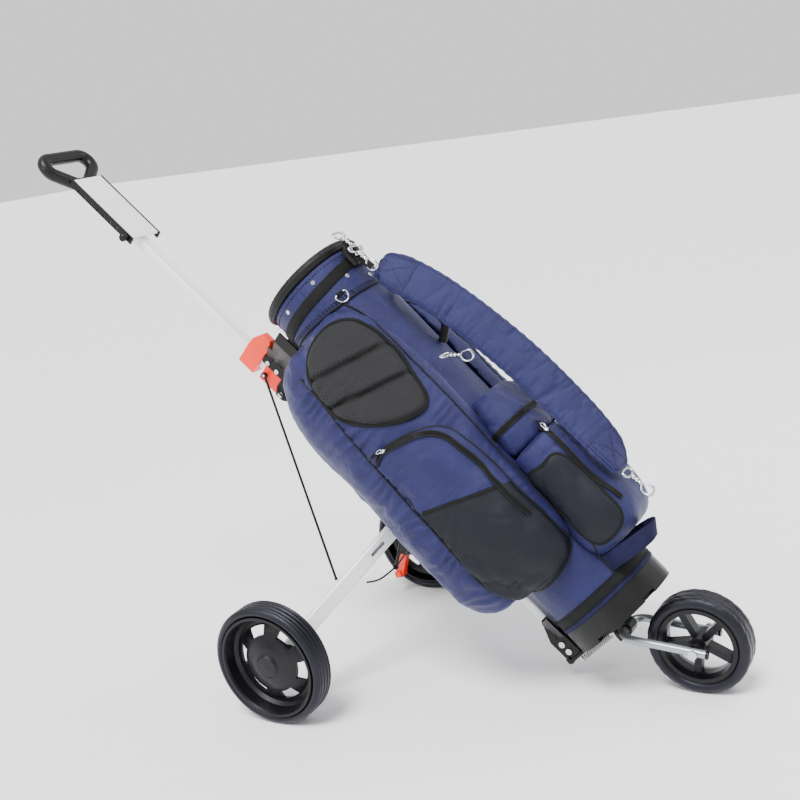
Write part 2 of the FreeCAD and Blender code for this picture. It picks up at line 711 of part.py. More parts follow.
# ---- legs, rods and wheels, drawn for the left side -----------------------------------
def leg_ends():
    top = spine_point(LEG_S, LEG_Y, LEG_N)
    return top, Vector(0, AXLE_END_Y, MAIN_R)


def leg_bar():
    """Solid leg outline from the knuckle to the axle, with its wide face towards the front."""
    top, low = leg_ends()
    along = low - top
    length = along.Length
    x = Vector(along).normalize()
    front = Vector(1, 0, 0.6)
    y = front.cross(x).normalize()
    z = x.cross(y)
    turn = FreeCAD.Rotation(FreeCAD.Matrix(x.x, y.x, z.x, 0, x.y, y.y, z.y, 0, x.z, y.z, z.z, 0))
    return length, FreeCAD.Placement(top, turn)


LEG_START = 34.0
HUB_R = 17.0


def leg_tube():
    length, place = leg_bar()
    tube = box_tube(length - LEG_START, LEG_W, LEG_H, 1.5, 5.0)
    tube.translate(Vector(LEG_START, 0, 0))
    slot = box(60, 96, -3.5, 3.5, 0, 20)
    tube = tube.cut(slot)
    tube.Placement = place
    return tube.cut(axle_envelope())


def axle_envelope():
    return y_rod(0, MAIN_R, AXLE_END_Y - 14, AXLE_END_Y + 17, HUB_R)


def leg_knuckle():
    """Moulded leg top that turns on the leg pin."""
    _, place = leg_bar()
    stub = Part.Face(rounded_rect(LEG_W, LEG_H, 5.0)).extrude(Vector(LEG_START, 0, 0))
    stub.Placement = place
    barrel = on_spine(y_rod(LEG_S, LEG_N, KNUCKLE_Y0, KNUCKLE_Y1, KNUCKLE_R))
    stub = stub.cut(on_spine(box(LEG_S - 60, LEG_S + 60, -40, KNUCKLE_Y1 - 0.6, -90, 60)))
    stub = stub.cut(on_spine(y_rod(LEG_S, LEG_N, KNUCKLE_Y1, 60, 8.0)))
    body = fuse([barrel, sorted(stub.Solids, key=lambda one: one.Volume)[-1]])
    return body.cut(on_spine(y_rod(LEG_S, LEG_N, 0, 60, PIN_R + RUN)))


def axle_block():
    return axle_envelope().cut(y_rod(0, MAIN_R, 200, 300, AXLE_R))


def axle():
    body = y_rod(0, MAIN_R, AXLE_END_Y - 14, MAIN_Y + 16, AXLE_R)
    head = y_rod(0, MAIN_R, MAIN_Y + 12, MAIN_Y + 17, 11.0)
    return fuse([body, head])


def leg_bolts():
    """The anchor bolt for the cable and the pin that stops the rod, on the leg's inner face."""
    _, place = leg_bar()
    shapes = []
    for x, r in ((150, 3.0), (188, 4.0)):
        bolt = Part.makeCylinder(r, 8, Vector(x, 0, -LEG_H / 2 - 8), Vector(0, 0, 1))
        bolt.Placement = place
        shapes.append(bolt)
    return Part.makeCompound(shapes)


def tyre(width, r_out, r_in, x, y, z):
    h = width / 2
    ring_solid = spun([(-h + 6, r_out), (h - 6, r_out), (h, r_out - 6), (h, r_in), (-h, r_in), (-h, r_out - 6)],
                      Vector(x, y, z), Vector(0, 1, 0))
    return ring_solid


MAIN_RIM_R = 101.0
MAIN_BORE_R = 12.0


def main_tyre():
    return tyre(MAIN_WIDTH, MAIN_R, MAIN_RIM_R, 0, MAIN_Y, MAIN_R)


def main_rim():
    """Wheel disc: a deep moat inside the lip, then a dome up to the hub, with six slots through it."""
    h = MAIN_WIDTH / 2
    face = [(h, 96), (h - 4, 94), (0, 91), (-6, 85), (-5, 78), (3, 64), (10, 50), (15, 36), (18, 24), (20, 21)]
    back = [(11, 26), (9, 36), (4, 48), (-3, 62), (-11, 78), (-12, 86), (-4, 95.5), (-h, 96)]
    profile = [(-h, MAIN_RIM_R), (h, MAIN_RIM_R)] + face + [(20, MAIN_BORE_R), (-h, MAIN_BORE_R), (-h, 24)] + back
    disc = spun(profile, Vector(0, MAIN_Y, MAIN_R), Vector(0, 1, 0))
    for i in range(6):
        turn = 60 * i + 22
        sector = slot_sector(57, 75, 32)
        sector.Placement = FreeCAD.Placement(Vector(0, MAIN_Y, MAIN_R), FreeCAD.Rotation(Y_AXIS, turn))
        disc = disc.cut(sector)
    return disc


def slot_sector(r0, r1, span):
    """A curved slot, cut right through along Y."""
    outer = Part.makeCylinder(r1, 80, Vector(0, -40, 0), Y_AXIS, span)
    return outer.cut(Part.makeCylinder(r0, 90, Vector(0, -45, 0), Y_AXIS))


def main_bush():
    shapes = []
    for y0, y1 in ((MAIN_Y - 24.5, MAIN_Y - 10), (MAIN_Y + 4, MAIN_Y + 12)):
        shapes.append(y_rod(0, MAIN_R, y0, y1, MAIN_BORE_R).cut(y_rod(0, MAIN_R, y0 - 1, y1 + 1, AXLE_R + RUN)))
    return Part.makeCompound(shapes)


def hub_cap():
    cap = spun([(18.6, 0), (18.6, 11.6), (12.5, 11.6), (12.5, MAIN_BORE_R - 0.01), (20, MAIN_BORE_R - 0.01),
                (20, 23), (22.5, 20), (23.5, 0)], Vector(0, MAIN_Y, MAIN_R), Vector(0, 1, 0))
    return cap


def tension_rod():
    """Thin rod from the casting to the middle of the leg, with an eye at its top."""
    top = spine_point(ROD_TOP_S, ROD_Y, ROD_TOP_N)
    leg_top, leg_low = leg_ends()
    target = leg_top + (leg_low - leg_top) * ROD_LEG_FRACTION + spine_point(-21, 0, -8) - SPINE_TOP
    body = rod(top, target, ROD_R)
    eye = on_spine(y_rod(ROD_TOP_S, ROD_TOP_N, ROD_Y - 2.5, ROD_Y + 2.5, 6.5))
    tip = Part.makeSphere(ROD_R + 1.0, target)
    body = fuse([body, eye, tip])
    return body.cut(on_spine(y_rod(ROD_TOP_S, ROD_TOP_N, 0, 60, 3.0 + RUN)))


# ---- brake, left side only -------------------------------------------------------------
BRAKE_X, BRAKE_Z = -30.0, 110.0


def brake_bracket():
    body = box(-40, -6, AXLE_END_Y - 14, AXLE_END_Y + 14, 99, 123)
    body = body.cut(y_rod(0, MAIN_R, 200, 300, HUB_R))
    body = body.cut(box(-60, -19, AXLE_END_Y - 9, AXLE_END_Y + 9, 90, 130))
    length, place = leg_bar()
    leg = Part.Face(rounded_rect(LEG_W, LEG_H, 5.0)).extrude(Vector(length, 0, 0))
    leg.Placement = place
    body = body.cut(leg)
    body = body.cut(y_rod(BRAKE_X, BRAKE_Z, 200, 300, 3.0))
    solids = sorted(body.Solids, key=lambda one: one.Volume)
    return solids[-1]


def brake_pin():
    return y_rod(BRAKE_X, BRAKE_Z, AXLE_END_Y - 14, AXLE_END_Y + 14, 3.0)


def brake_lever():
    """Coloured foot lever that hangs from its pin."""
    y0, y1 = AXLE_END_Y - 8.6, AXLE_END_Y + 8.6
    boss = y_rod(BRAKE_X, BRAKE_Z, y0, y1, 8.0)
    arm = prism([(BRAKE_X - 8, y0, BRAKE_Z), (BRAKE_X + 6, y0, BRAKE_Z - 4), (-46, y0, 40), (-60, y0, 38),
                 (-64, y0, 48)], Vector(0, y1 - y0, 0))
    pedal = prism([(-46, y0 - 6, 40), (-60, y0 - 6, 38), (-65, y0 - 6, 50), (-50, y0 - 6, 54)],
                  Vector(0, y1 - y0 + 12, 0))
    body = fuse([boss, arm, pedal])
    return body.cut(y_rod(BRAKE_X, BRAKE_Z, 200, 300, 3.0 + RUN))


CABLE_R = 2.0
CABLE_RIGHT = ((100, -104, 198), (96, -70, 184), (98, -36, 180), (104, -2, 186))
CABLE_LEFT = ((104, 2, 186), (98, 44, 190), (80, 92, 180), (56, 142, 158), (26, 190, 132), (-2, 226, 108),
              (-22, 244, 100))


def cable(points):
    pts = [Vector(*p) for p in points]
    radii = []
    for i in range(1, len(pts) - 1):
        short = min((pts[i] - pts[i - 1]).Length, (pts[i + 1] - pts[i]).Length)
        turn = math.pi - (pts[i - 1] - pts[i]).getAngle(pts[i + 1] - pts[i])
        radii.append(0.45 * short / math.tan(turn / 2))
    print("cable radii", [round(r) for r in radii])
    return round_tube(pts, radii, CABLE_R)


def cable_clip():
    """Clip that holds the middle of the cable under the leg bracket."""
    at = Vector(104, 0, 186)
    body = rod(at + Vector(0, -2, 0), at + Vector(0, 2, 0), 6)
    stalk = rod(at + Vector(2, 0, 5), spine_point(LEG_S, 0, -38.0), 2.5)
    body = fuse([body, stalk])
    return body.cut(rod(at + Vector(0, -9, 0), at + Vector(0, 9, 0), CABLE_R + 0.4))


# ---- fork and front wheel ---------------------------------------------------------------
def fork_tube():
    pts = [Vector(FORK_ARM_END, -FORK_ARM_Y, 0), Vector(0, -FORK_ARM_Y, 0), Vector(0, FORK_ARM_Y, 0),
           Vector(FORK_ARM_END, FORK_ARM_Y, 0)]
    outer = round_tube(pts, [FORK_BEND_R, FORK_BEND_R], FORK_TUBE_R)
    body = outer.cut(y_rod(FORK_AXLE_X, 0, -60, 60, 5.0))
    return in_fork(body)


def fork_plugs():
    shapes = []
    for y in (-FORK_ARM_Y, FORK_ARM_Y):
        shapes.append(in_fork(Part.makeCylinder(FORK_TUBE_R + 0.4, 4, Vector(FORK_ARM_END, y, 0), Vector(1, 0, 0))))
    return Part.makeCompound(shapes)


def front_axle():
    body = y_rod(FORK_AXLE_X, 0, -53, 53, 5.0)
    caps = [y_rod(FORK_AXLE_X, 0, 53, 58, 8.0), y_rod(FORK_AXLE_X, 0, -58, -53, 8.0)]
    return in_fork(fuse([body] + caps))


FRONT_RIM_R = 71.0


def front_tyre():
    return in_fork(tyre(FRONT_WIDTH, FRONT_R, FRONT_RIM_R, FORK_AXLE_X, 0, 0))


def front_rim():
    """Five-spoked moulded wheel."""
    h = FRONT_WIDTH / 2 - 4
    rim = spun([(-h, FRONT_RIM_R), (h, FRONT_RIM_R), (h, 63), (10, 59), (-10, 59), (-h, 63)], Vector(0, 0, 0),
               Vector(0, 1, 0))
    hub = spun([(-h, 17), (h, 17), (h, 9), (-h, 9)], Vector(0, 0, 0), Vector(0, 1, 0))
    spokes = []
    for i in range(5):
        spoke = box(15, 62, -11, 11, -6.5, 6.5)
        spoke.Placement = FreeCAD.Placement(Vector(0, 0, 0), FreeCAD.Rotation(Y_AXIS, 72 * i + 20))
        spokes.append(spoke)
    body = fuse([rim, hub] + spokes)
    body.translate(Vector(FORK_AXLE_X, 0, 0))
    return in_fork(body)


def front_bushes():
    """One flanged bush in each end of the front hub."""
    shapes = []
    for side in (-1, 1):
        sleeve = y_rod(FORK_AXLE_X, 0, min(12 * side, 24.5 * side), max(12 * side, 24.5 * side), 9.0)
        flange = y_rod(FORK_AXLE_X, 0, min(24.4 * side, 36.6 * side), max(24.4 * side, 36.6 * side), 11.0)
        bore = y_rod(FORK_AXLE_X, 0, -60, 60, 5.0 + RUN)
        shapes.append(in_fork(sleeve.fuse(flange).cut(bore)))
    return Part.makeCompound(shapes)


def side_nodes(nodes, name, make):
    left, right = pair(make)
    nodes[name + "_left"] = left
    nodes[name + "_right"] = right


def all_nodes():
    nodes = {}
    nodes["spine_tube"] = spine_tube()
    nodes["upper_cradle"] = upper_cradle()
    nodes["hinge_pins"] = Part.makeCompound([fold_pin(), leg_pin()])
    nodes["leg_bracket"] = Part.makeCompound([leg_bracket(), cable_clip()])
    nodes["lower_bracket"] = lower_bracket()
    nodes["fork_hinge"] = fork_hinge()
    nodes["fork_spring"] = fork_spring()
    nodes["frame_screws"] = Part.makeCompound(
        [cradle_screws(), leg_bracket_bolts(), lower_bracket_bolts(), spring_posts()])
    nodes["bag_shell"] = bag_shell()
    nodes["base_moulding"] = base_moulding()
    nodes["collar_band"] = collar_band()
    nodes["collar_rivets"] = collar_rivets()
    nodes["bag_rim"] = bag_rim()
    nodes["club_dividers"] = dividers()
    nodes["bag_stays"] = bag_stays()
    side_nodes(nodes, "side_pocket", side_pocket)
    nodes["mesh_pad"] = mesh_pad()
    nodes["zip_pocket"] = zip_pocket()
    nodes["lower_front_pocket"] = lower_front_pocket()
    nodes["upper_front_pocket"] = upper_front_pocket()
    nodes["shoulder_strap"] = shoulder_strap()
    nodes["carry_handle"] = carry_handle()
    nodes["bottom_loop"] = bottom_loop()
    nodes["tie_strap"] = tie_strap()
    nodes["tie_buckle"] = tie_buckle()
    nodes["bag_rings"] = Part.makeCompound([d_ring(771, -46), d_ring(771, 46)])
    nodes["snap_hooks"] = Part.makeCompound([strap_hook(*at) for at in (HOOK_TOP, HOOK_MID, HOOK_LOW)])
    nodes["handle_tube"] = handle_tube()
    nodes["handle_grip"] = handle_grip()
    nodes["console_plate"] = console_plate()
    nodes["console_rails"] = Part.makeCompound([console_rails(), console_feet(), console_knob()])
    nodes["fold_casting"] = fold_casting()
    nodes["rod_pins"] = rod_pins()
    nodes["lock_collar"] = lock_collar()
    side_nodes(nodes, "leg_tube", leg_tube)
    side_nodes(nodes, "leg_fittings", lambda: Part.makeCompound([leg_knuckle(), axle_block()]))
    side_nodes(nodes, "axle", lambda: Part.makeCompound([axle(), leg_bolts()]))
    side_nodes(nodes, "tension_rod", tension_rod)
    side_nodes(nodes, "main_tyre", main_tyre)
    side_nodes(nodes, "main_rim", main_rim)
    side_nodes(nodes, "hub_parts", lambda: Part.makeCompound([main_bush(), hub_cap()]))
    nodes["brake_bracket"] = Part.makeCompound([brake_bracket(), brake_pin()])
    nodes["brake_cable_left"] = cable(CABLE_LEFT)
    nodes["brake_cable_right"] = cable(CABLE_RIGHT)
    nodes["brake_lever"] = brake_lever()
    nodes["fork_tube"] = fork_tube()
    nodes["fork_plugs"] = fork_plugs()
    nodes["front_axle"] = front_axle()
    nodes["front_bushes"] = front_bushes()
    nodes["front_tyre"] = front_tyre()
    nodes["front_rim"] = front_rim()
    return nodes


def place_all(nodes):
    """Put the origin at the bottom centre of everything and return how far X moved."""
    whole = FreeCAD.BoundBox()
    for shape in nodes.values():
        whole.add(shape.BoundBox)
    shift = Vector(-(whole.XMin + whole.XMax) / 2, -(whole.YMin + whole.YMax) / 2, -whole.ZMin)
    for shape in nodes.values():
        shape.translate(shift)
    print("shift", shift, "size", whole.XLength, whole.YLength, whole.ZLength)
    return shift


def main():
    os.makedirs("parts", exist_ok=True)
    nodes = all_nodes()
    place_all(nodes)
    for name, shape in nodes.items():
        shape.exportStep("parts/" + name + ".step")
    print(len(nodes), "nodes")


if __name__ == "__main__":
    main()
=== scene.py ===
"""Looks for the golf bag on its push cart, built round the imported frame.

Bag pieces are laid out in the bag frame, in millimetres: x towards the front pockets, y to the left side,
z up the bag from its foot. to_world() turns them into metres in the row frame.
"""

import math

import bpy
import numpy as np
from mathutils import Matrix, Vector
from mathutils.bvhtree import BVHTree
from mathutils.kdtree import KDTree


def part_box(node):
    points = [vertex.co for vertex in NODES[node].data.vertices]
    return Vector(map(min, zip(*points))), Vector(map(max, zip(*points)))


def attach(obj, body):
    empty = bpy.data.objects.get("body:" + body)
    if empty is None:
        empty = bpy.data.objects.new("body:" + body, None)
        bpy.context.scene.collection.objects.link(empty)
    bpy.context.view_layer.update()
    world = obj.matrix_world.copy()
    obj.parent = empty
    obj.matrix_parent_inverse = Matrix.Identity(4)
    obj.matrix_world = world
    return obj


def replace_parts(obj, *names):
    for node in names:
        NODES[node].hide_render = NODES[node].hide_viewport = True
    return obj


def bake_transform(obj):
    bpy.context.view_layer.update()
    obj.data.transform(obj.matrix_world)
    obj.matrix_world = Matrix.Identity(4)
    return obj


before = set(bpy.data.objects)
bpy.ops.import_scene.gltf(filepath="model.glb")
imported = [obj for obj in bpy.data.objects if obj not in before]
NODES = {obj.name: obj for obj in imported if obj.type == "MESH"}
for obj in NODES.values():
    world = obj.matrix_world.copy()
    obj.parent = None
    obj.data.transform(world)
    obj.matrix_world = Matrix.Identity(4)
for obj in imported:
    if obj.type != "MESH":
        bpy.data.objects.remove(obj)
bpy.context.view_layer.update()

# ---- frames --------------------------------------------------------------------------
LEAN = math.radians(41.6)
BAG = np.array([[math.cos(LEAN), 0, math.sin(LEAN)], [0, 1, 0], [-math.sin(LEAN), 0, math.cos(LEAN)]])
BAG_FOOT = np.array([0.4775, 0, 0.1354])
R_FOOT, R_TOP, LENGTH = 106.0, 104.0, 870.0
RIM_Z = 846.0


def to_world(p):
    return BAG_FOOT + np.asarray(p, float) / 1000 @ BAG


def to_bag(p):
    return (np.asarray(p, float) - BAG_FOOT) @ BAG.T * 1000


def skin_r(z):
    return R_FOOT + (R_TOP - R_FOOT) * z / LENGTH


# ---- camera, floor and light ---------------------------------------------------------
CART_X = 108.8                                  # mm by which the cart's own origin stands behind the frame's
AIM, DISTANCE = (172.7, 0.0, 539.6), 2221.8     # mm: the point that the camera looks at, and how far off
AZIMUTH, ELEVATION, ROLL = 31.6, 14.0, -8.5     # degrees


def stage_set():
    camera = bpy.data.objects.new("camera", bpy.data.cameras.new("camera"))
    bpy.context.scene.collection.objects.link(camera)
    azimuth, elevation, roll = (math.radians(v) for v in (AZIMUTH, ELEVATION, ROLL))
    level = Vector((math.cos(azimuth), math.sin(azimuth), 0))
    back = Vector((math.sin(azimuth), -math.cos(azimuth), 0)) * math.cos(elevation)
    back.z = math.sin(elevation)
    upright = back.cross(level)
    right = level * math.cos(roll) + upright * math.sin(roll)
    turn = Matrix((right, back.cross(right), back)).transposed()
    place = (Vector(AIM) - Vector((CART_X, 0, 0)) + back * DISTANCE) / 1000
    camera.matrix_world = Matrix.Translation(place) @ turn.to_4x4()
    camera.data.lens, camera.data.sensor_width = 51.8, 36
    bpy.context.scene.camera = camera

    white = material("floor_white", (0.92, 0.92, 0.93), 0.7, mottle=0.01, Specular_IOR_Level=0.1)
    floor = piece("floor", [(-30, -30, 0), (30, -30, 0), (30, 30, 0), (-30, 30, 0)], [(0, 1, 2, 3)], white, body=None)
    world = bpy.data.worlds.new("studio")
    bpy.context.scene.world = world
    world.use_nodes = True
    world.node_tree.nodes["Background"].inputs["Color"].default_value = (0.97, 0.985, 1, 1)
    world.node_tree.nodes["Background"].inputs["Strength"].default_value = 1.1
    for name, kind, place, size, power in (
            ("sun", "SUN", (0.1, -1.5, 3.6), math.radians(24), 4.4), ("key", "AREA", (-1.2, -2.2, 1.9), 0.8, 20),
            ("edge", "AREA", (1.6, 1.2, 2.2), 1.2, 26)):
        lamp = bpy.data.objects.new(name, bpy.data.lights.new(name, kind))
        setattr(lamp.data, "angle" if kind == "SUN" else "size", size)
        lamp.data.energy = power
        lamp.location = place
        lamp.rotation_euler = (Vector((0.05, 0, 0.45)) - Vector(place)).to_track_quat("-Z", "Y").to_euler()
        bpy.context.scene.collection.objects.link(lamp)


# ---- materials -----------------------------------------------------------------------
class Graph:
    """Short hand for building a material's node tree."""

    def __init__(self, name):
        self.m = bpy.data.materials.new(name)
        self.m.use_nodes = True
        self.tree = self.m.node_tree
        self.shader = self.tree.nodes["Principled BSDF"]
        self.place = self.tree.nodes.new("ShaderNodeTexCoord").outputs["Object"]
        self.normal = None

    def add(self, kind, **options):
        n = self.tree.nodes.new(kind)
        for k, v in options.items():
            setattr(n, k, v)
        return n

    def put(self, socket, value):
        if isinstance(value, bpy.types.NodeSocket):
            self.tree.links.new(value, socket)
        else:
            socket.default_value = value

    def sum(self, operation, *values):
        n = self.add("ShaderNodeMath", operation=operation)
        for i, v in enumerate(values):
            self.put(n.inputs[i], v)
        return n.outputs[0]

    def noise(self, scale, stretch=(1, 1, 1), detail=3.0, turn=(0, 0, 0)):
        mapping = self.add("ShaderNodeMapping")
        self.put(mapping.inputs["Vector"], self.place)
        mapping.inputs["Scale"].default_value = stretch
        mapping.inputs["Rotation"].default_value = turn
        n = self.add("ShaderNodeTexNoise")
        self.put(n.inputs["Vector"], mapping.outputs[0])
        n.inputs["Scale"].default_value = scale
        n.inputs["Detail"].default_value = detail
        return n.outputs["Fac"]

    def bag_axes(self):
        """Coordinates across and up the bag, in metres, for weaves."""
        mapping = self.add("ShaderNodeMapping")
        self.put(mapping.inputs["Vector"], self.place)
        mapping.inputs["Rotation"].default_value = (0, LEAN, 0)
        split = self.add("ShaderNodeSeparateXYZ")
        self.put(split.inputs[0], mapping.outputs[0])
        return self.sum("ADD", split.outputs[0], split.outputs[1]), split.outputs[2]

    def waves(self, u, period):
        return self.sum("SINE", self.sum("MULTIPLY", u, 2 * math.pi / period))

    def bump(self, height, depth, strength=1.0):
        n = self.add("ShaderNodeBump")
        n.inputs["Distance"].default_value = depth
        n.inputs["Strength"].default_value = strength
        self.put(n.inputs["Height"], height)
        if self.normal is not None:
            self.put(n.inputs["Normal"], self.normal)
        self.normal = n.outputs[0]

    def ramp(self, fac, stops):
        n = self.add("ShaderNodeValToRGB")
        self.put(n.inputs[0], fac)
        ends = n.color_ramp.elements
        ends[0].position, ends[0].color = stops[0][0], (*stops[0][1], 1)
        ends[1].position, ends[1].color = stops[-1][0], (*stops[-1][1], 1)
        for at, colour in stops[1:-1]:
            ends.new(at).color = (*colour, 1)
        return n.outputs[0]

    def done(self, **sockets):
        for k, v in sockets.items():
            self.put(self.shader.inputs[k.replace("_", " ")], v)
        if self.normal is not None:
            self.put(self.shader.inputs["Normal"], self.normal)
        return self.m


def shades(colour, amount):
    return [tuple(min(1, c * (1 + s * amount)) for c in colour) for s in (-1, 1)]


def material(name, colour, rough, metal=0.0, mottle=0.12, grain=None, grain_depth=0.0002, rough_range=0.08,
             **sockets):
    """Moulded, painted or plated stuff: slight colour change, uneven gloss and a fine surface grain."""
    g = Graph(name)
    dark, light = shades(colour, mottle)
    g.put(g.shader.inputs["Base Color"], g.ramp(g.noise(14, detail=4), [(0.3, dark), (0.7, light)]))
    spread = g.ramp(g.noise(45, detail=5), [(0.25, (max(rough - rough_range, 0.03),) * 3),
                                            (0.75, (min(rough + rough_range, 1),) * 3)])
    g.put(g.shader.inputs["Roughness"], spread)
    if grain:
        g.bump(g.noise(grain, detail=2), grain_depth)
    return g.done(Metallic=metal, **sockets)


def nylon(name, colour, mottle=0.16):
    """Coated nylon: crossed weave, soft folds and a little sheen."""
    g = Graph(name)
    dark, light = shades(colour, mottle)
    g.put(g.shader.inputs["Base Color"], g.ramp(g.noise(22, detail=5), [(0.3, dark), (0.72, light)]))
    g.bump(g.noise(24, stretch=(1, 1, 0.6), detail=4, turn=(0, LEAN, 0)), 0.0055, 0.75)
    g.bump(g.noise(85, stretch=(0.5, 1, 1), detail=3, turn=(0, LEAN, 0)), 0.0014, 0.6)
    u, v = g.bag_axes()
    weave = g.sum("MULTIPLY", g.waves(u, 0.0012), g.waves(v, 0.0012))
    g.bump(weave, 0.00008)
    return g.done(Roughness=0.47, Specular_IOR_Level=0.42, Specular_Tint=(0.62, 0.64, 1, 1), Sheen_Weight=0.16,
                  Sheen_Roughness=0.35, Sheen_Tint=(0.42, 0.45, 1, 1))


def netting(name, thread, under, period, depth, rough):
    """Open mesh: threads crossing over a darker ground."""
    g = Graph(name)
    u, v = g.bag_axes()
    holes = g.sum("MULTIPLY", g.waves(u, period), g.waves(g.sum("ADD", v, g.sum("MULTIPLY", u, 0.18)), period * 0.8))
    holes = g.sum("MULTIPLY_ADD", holes, 0.5, 0.5)
    g.put(g.shader.inputs["Base Color"], g.ramp(holes, [(0.35, thread), (0.75, under)]))
    g.bump(g.noise(30, detail=3), 0.001, 0.5)
    g.bump(holes, depth)
    return g.done(Roughness=rough, Specular_IOR_Level=0.2)


def webbing(name, colour):
    """Woven tape with ribs along and across it."""
    g = Graph(name)
    dark, light = shades(colour, 0.25)
    g.put(g.shader.inputs["Base Color"], g.ramp(g.noise(60), [(0.3, dark), (0.7, light)]))
    u, v = g.bag_axes()
    g.bump(g.sum("MULTIPLY", g.waves(u, 0.0022), g.waves(v, 0.0022)), 0.0003)
    return g.done(Roughness=0.7, Specular_IOR_Level=0.2)


DIM = {"Specular_IOR_Level": 0.26}        # plain blacks that throw back little of the studio


def make_materials():
    m = {}
    m["navy"] = nylon("navy_nylon", (0.0120, 0.0122, 0.060))
    m["navy_web"] = webbing("navy_webbing", (0.0080, 0.0082, 0.040))
    m["air_mesh"] = netting("air_mesh", (0.030, 0.030, 0.032), (0.002, 0.002, 0.002), 0.0044, 0.0009, 0.6)
    m["pocket_mesh"] = netting("pocket_mesh", (0.011, 0.012, 0.018), (0.0012, 0.0013, 0.006), 0.0038, 0.0003, 0.5)
    m["black_web"] = webbing("black_webbing", (0.006, 0.006, 0.006))
    m["binding"] = material("black_binding", (0.005, 0.005, 0.005), 0.5, grain=700, grain_depth=0.0001, **DIM)
    m["rubber"] = material("soft_black_rubber", (0.006, 0.006, 0.006), 0.5, grain=500, **DIM)
    m["plastic"] = material("black_plastic", (0.005, 0.005, 0.005), 0.36, grain=900, grain_depth=0.00008, **DIM)
    m["wheel"] = material("wheel_plastic", (0.0045, 0.0045, 0.006), 0.34, grain=1100, grain_depth=0.00006, **DIM)
    m["tyre"] = material("tyre_rubber", (0.0050, 0.0048, 0.006), 0.42, grain=380, grain_depth=0.0002,
                         Specular_IOR_Level=0.35, Specular_Tint=(0.8, 0.78, 1, 1))
    m["black_metal"] = material("painted_black_metal", (0.004, 0.004, 0.004), 0.3, grain=1200,
                                grain_depth=0.00004, **DIM)
    m["silver"] = material("silver_paint", (0.90, 0.91, 0.92), 0.33, metal=0.1, mottle=0.03, grain=1500,
                           grain_depth=0.00003, Coat_Weight=0.3)
    m["fork"] = material("grey_silver_paint", (0.36, 0.38, 0.40), 0.3, metal=0.6, mottle=0.04, grain=1500,
                         grain_depth=0.00003)
    m["white"] = material("gloss_white", (0.84, 0.84, 0.85), 0.2, mottle=0.015, Coat_Weight=0.5)
    m["orange"] = material("signal_orange", (0.92, 0.03, 0.004), 0.36, mottle=0.06, grain=900,
                           grain_depth=0.00006, Coat_Weight=0.1)
    m["chrome"] = material("chrome", (0.62, 0.62, 0.64), 0.12, metal=1.0, mottle=0.03, rough_range=0.05)
    m["steel"] = material("spring_steel", (0.40, 0.38, 0.33), 0.25, metal=1.0, mottle=0.08)
    return m


# ---- mesh helpers --------------------------------------------------------------------
def piece(name, verts, faces, mat, body="frame", smooth=True):
    mesh = bpy.data.meshes.new(name)
    mesh.from_pydata(np.asarray(verts, float).tolist(), [], [tuple(int(i) for i in f) for f in faces])
    mesh.update()
    for one in (mat if isinstance(mat, (list, tuple)) else [mat]):
        mesh.materials.append(one)
    if smooth:
        mesh.polygons.foreach_set("use_smooth", [True] * len(mesh.polygons))
    o = bpy.data.objects.new(name, mesh)
    bpy.context.scene.collection.objects.link(o)
    if body:
        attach(o, body)
    return o


def grid_faces(nu, nv, wrap_u=False, wrap_v=False):
    i, j = np.meshgrid(np.arange(nu - (not wrap_u)), np.arange(nv - (not wrap_v)), indexing="ij")
    a, b = (i + 1) % nu, (j + 1) % nv
    return np.stack([i * nv + j, a * nv + j, a * nv + b, i * nv + b], -1).reshape(-1, 4)


def smooth_line(points, step=4.0, closed=False):
    """A Catmull-Rom line through the points, sampled evenly."""
    p = np.asarray(points, float)
    if len(p) == 2:
        n = max(2, int(np.linalg.norm(p[1] - p[0]) / step) + 1)
        return p[0] + np.linspace(0, 1, n)[:, None] * (p[1] - p[0])
    ends = (p[-1], p[0], p[1]) if closed else (2 * p[0] - p[1], None, 2 * p[-1] - p[-2])
    q = np.vstack([ends[0], p, ends[1], ends[2]]) if closed else np.vstack([ends[0], p, ends[2]])
    out, t = [], np.linspace(0, 1, 24, endpoint=False)[:, None]
    for k in range(len(q) - 3):
        a, b, c, d = q[k:k + 4]
        out.append(0.5 * (2 * b + (c - a) * t + (2 * a - 5 * b + 4 * c - d) * t ** 2
                          + (3 * b - a - 3 * c + d) * t ** 3))
    line = np.vstack(out + [q[-2][None]])
    far = np.r_[0, np.cumsum(np.linalg.norm(np.diff(line, axis=0), axis=1))]
    at = np.linspace(0, far[-1], max(3, int(far[-1] / step) + 1))
    line = np.stack([np.interp(at, far, line[:, i]) for i in range(line.shape[1])], 1)
    return line[:-1] if closed else line


def wavy(p, size, seed, stretch=(1, 1, 1), n=8):
    """Smooth seeded noise of about -1 to 1 whose bumps are about size across."""
    rng = np.random.default_rng(seed)
    q = np.asarray(p, float) / (np.array(stretch, float) * size)
    total = np.zeros(len(q))
    for _ in range(n):
        d = rng.normal(size=3)
        total += np.sin(q @ (d / np.linalg.norm(d)) * math.pi * rng.uniform(0.6, 1.6) + rng.uniform(0, 6.28))
    return total / math.sqrt(n)


def frames_along(line, normals, closed=False):
    if closed:
        t = np.roll(line, -1, 0) - np.roll(line, 1, 0)
    else:
        t = np.gradient(line, axis=0)
    t /= np.linalg.norm(t, axis=1)[:, None] + 1e-12
    n = normals - (normals * t).sum(1)[:, None] * t
    n /= np.linalg.norm(n, axis=1)[:, None] + 1e-12
    return t, n, np.cross(t, n)


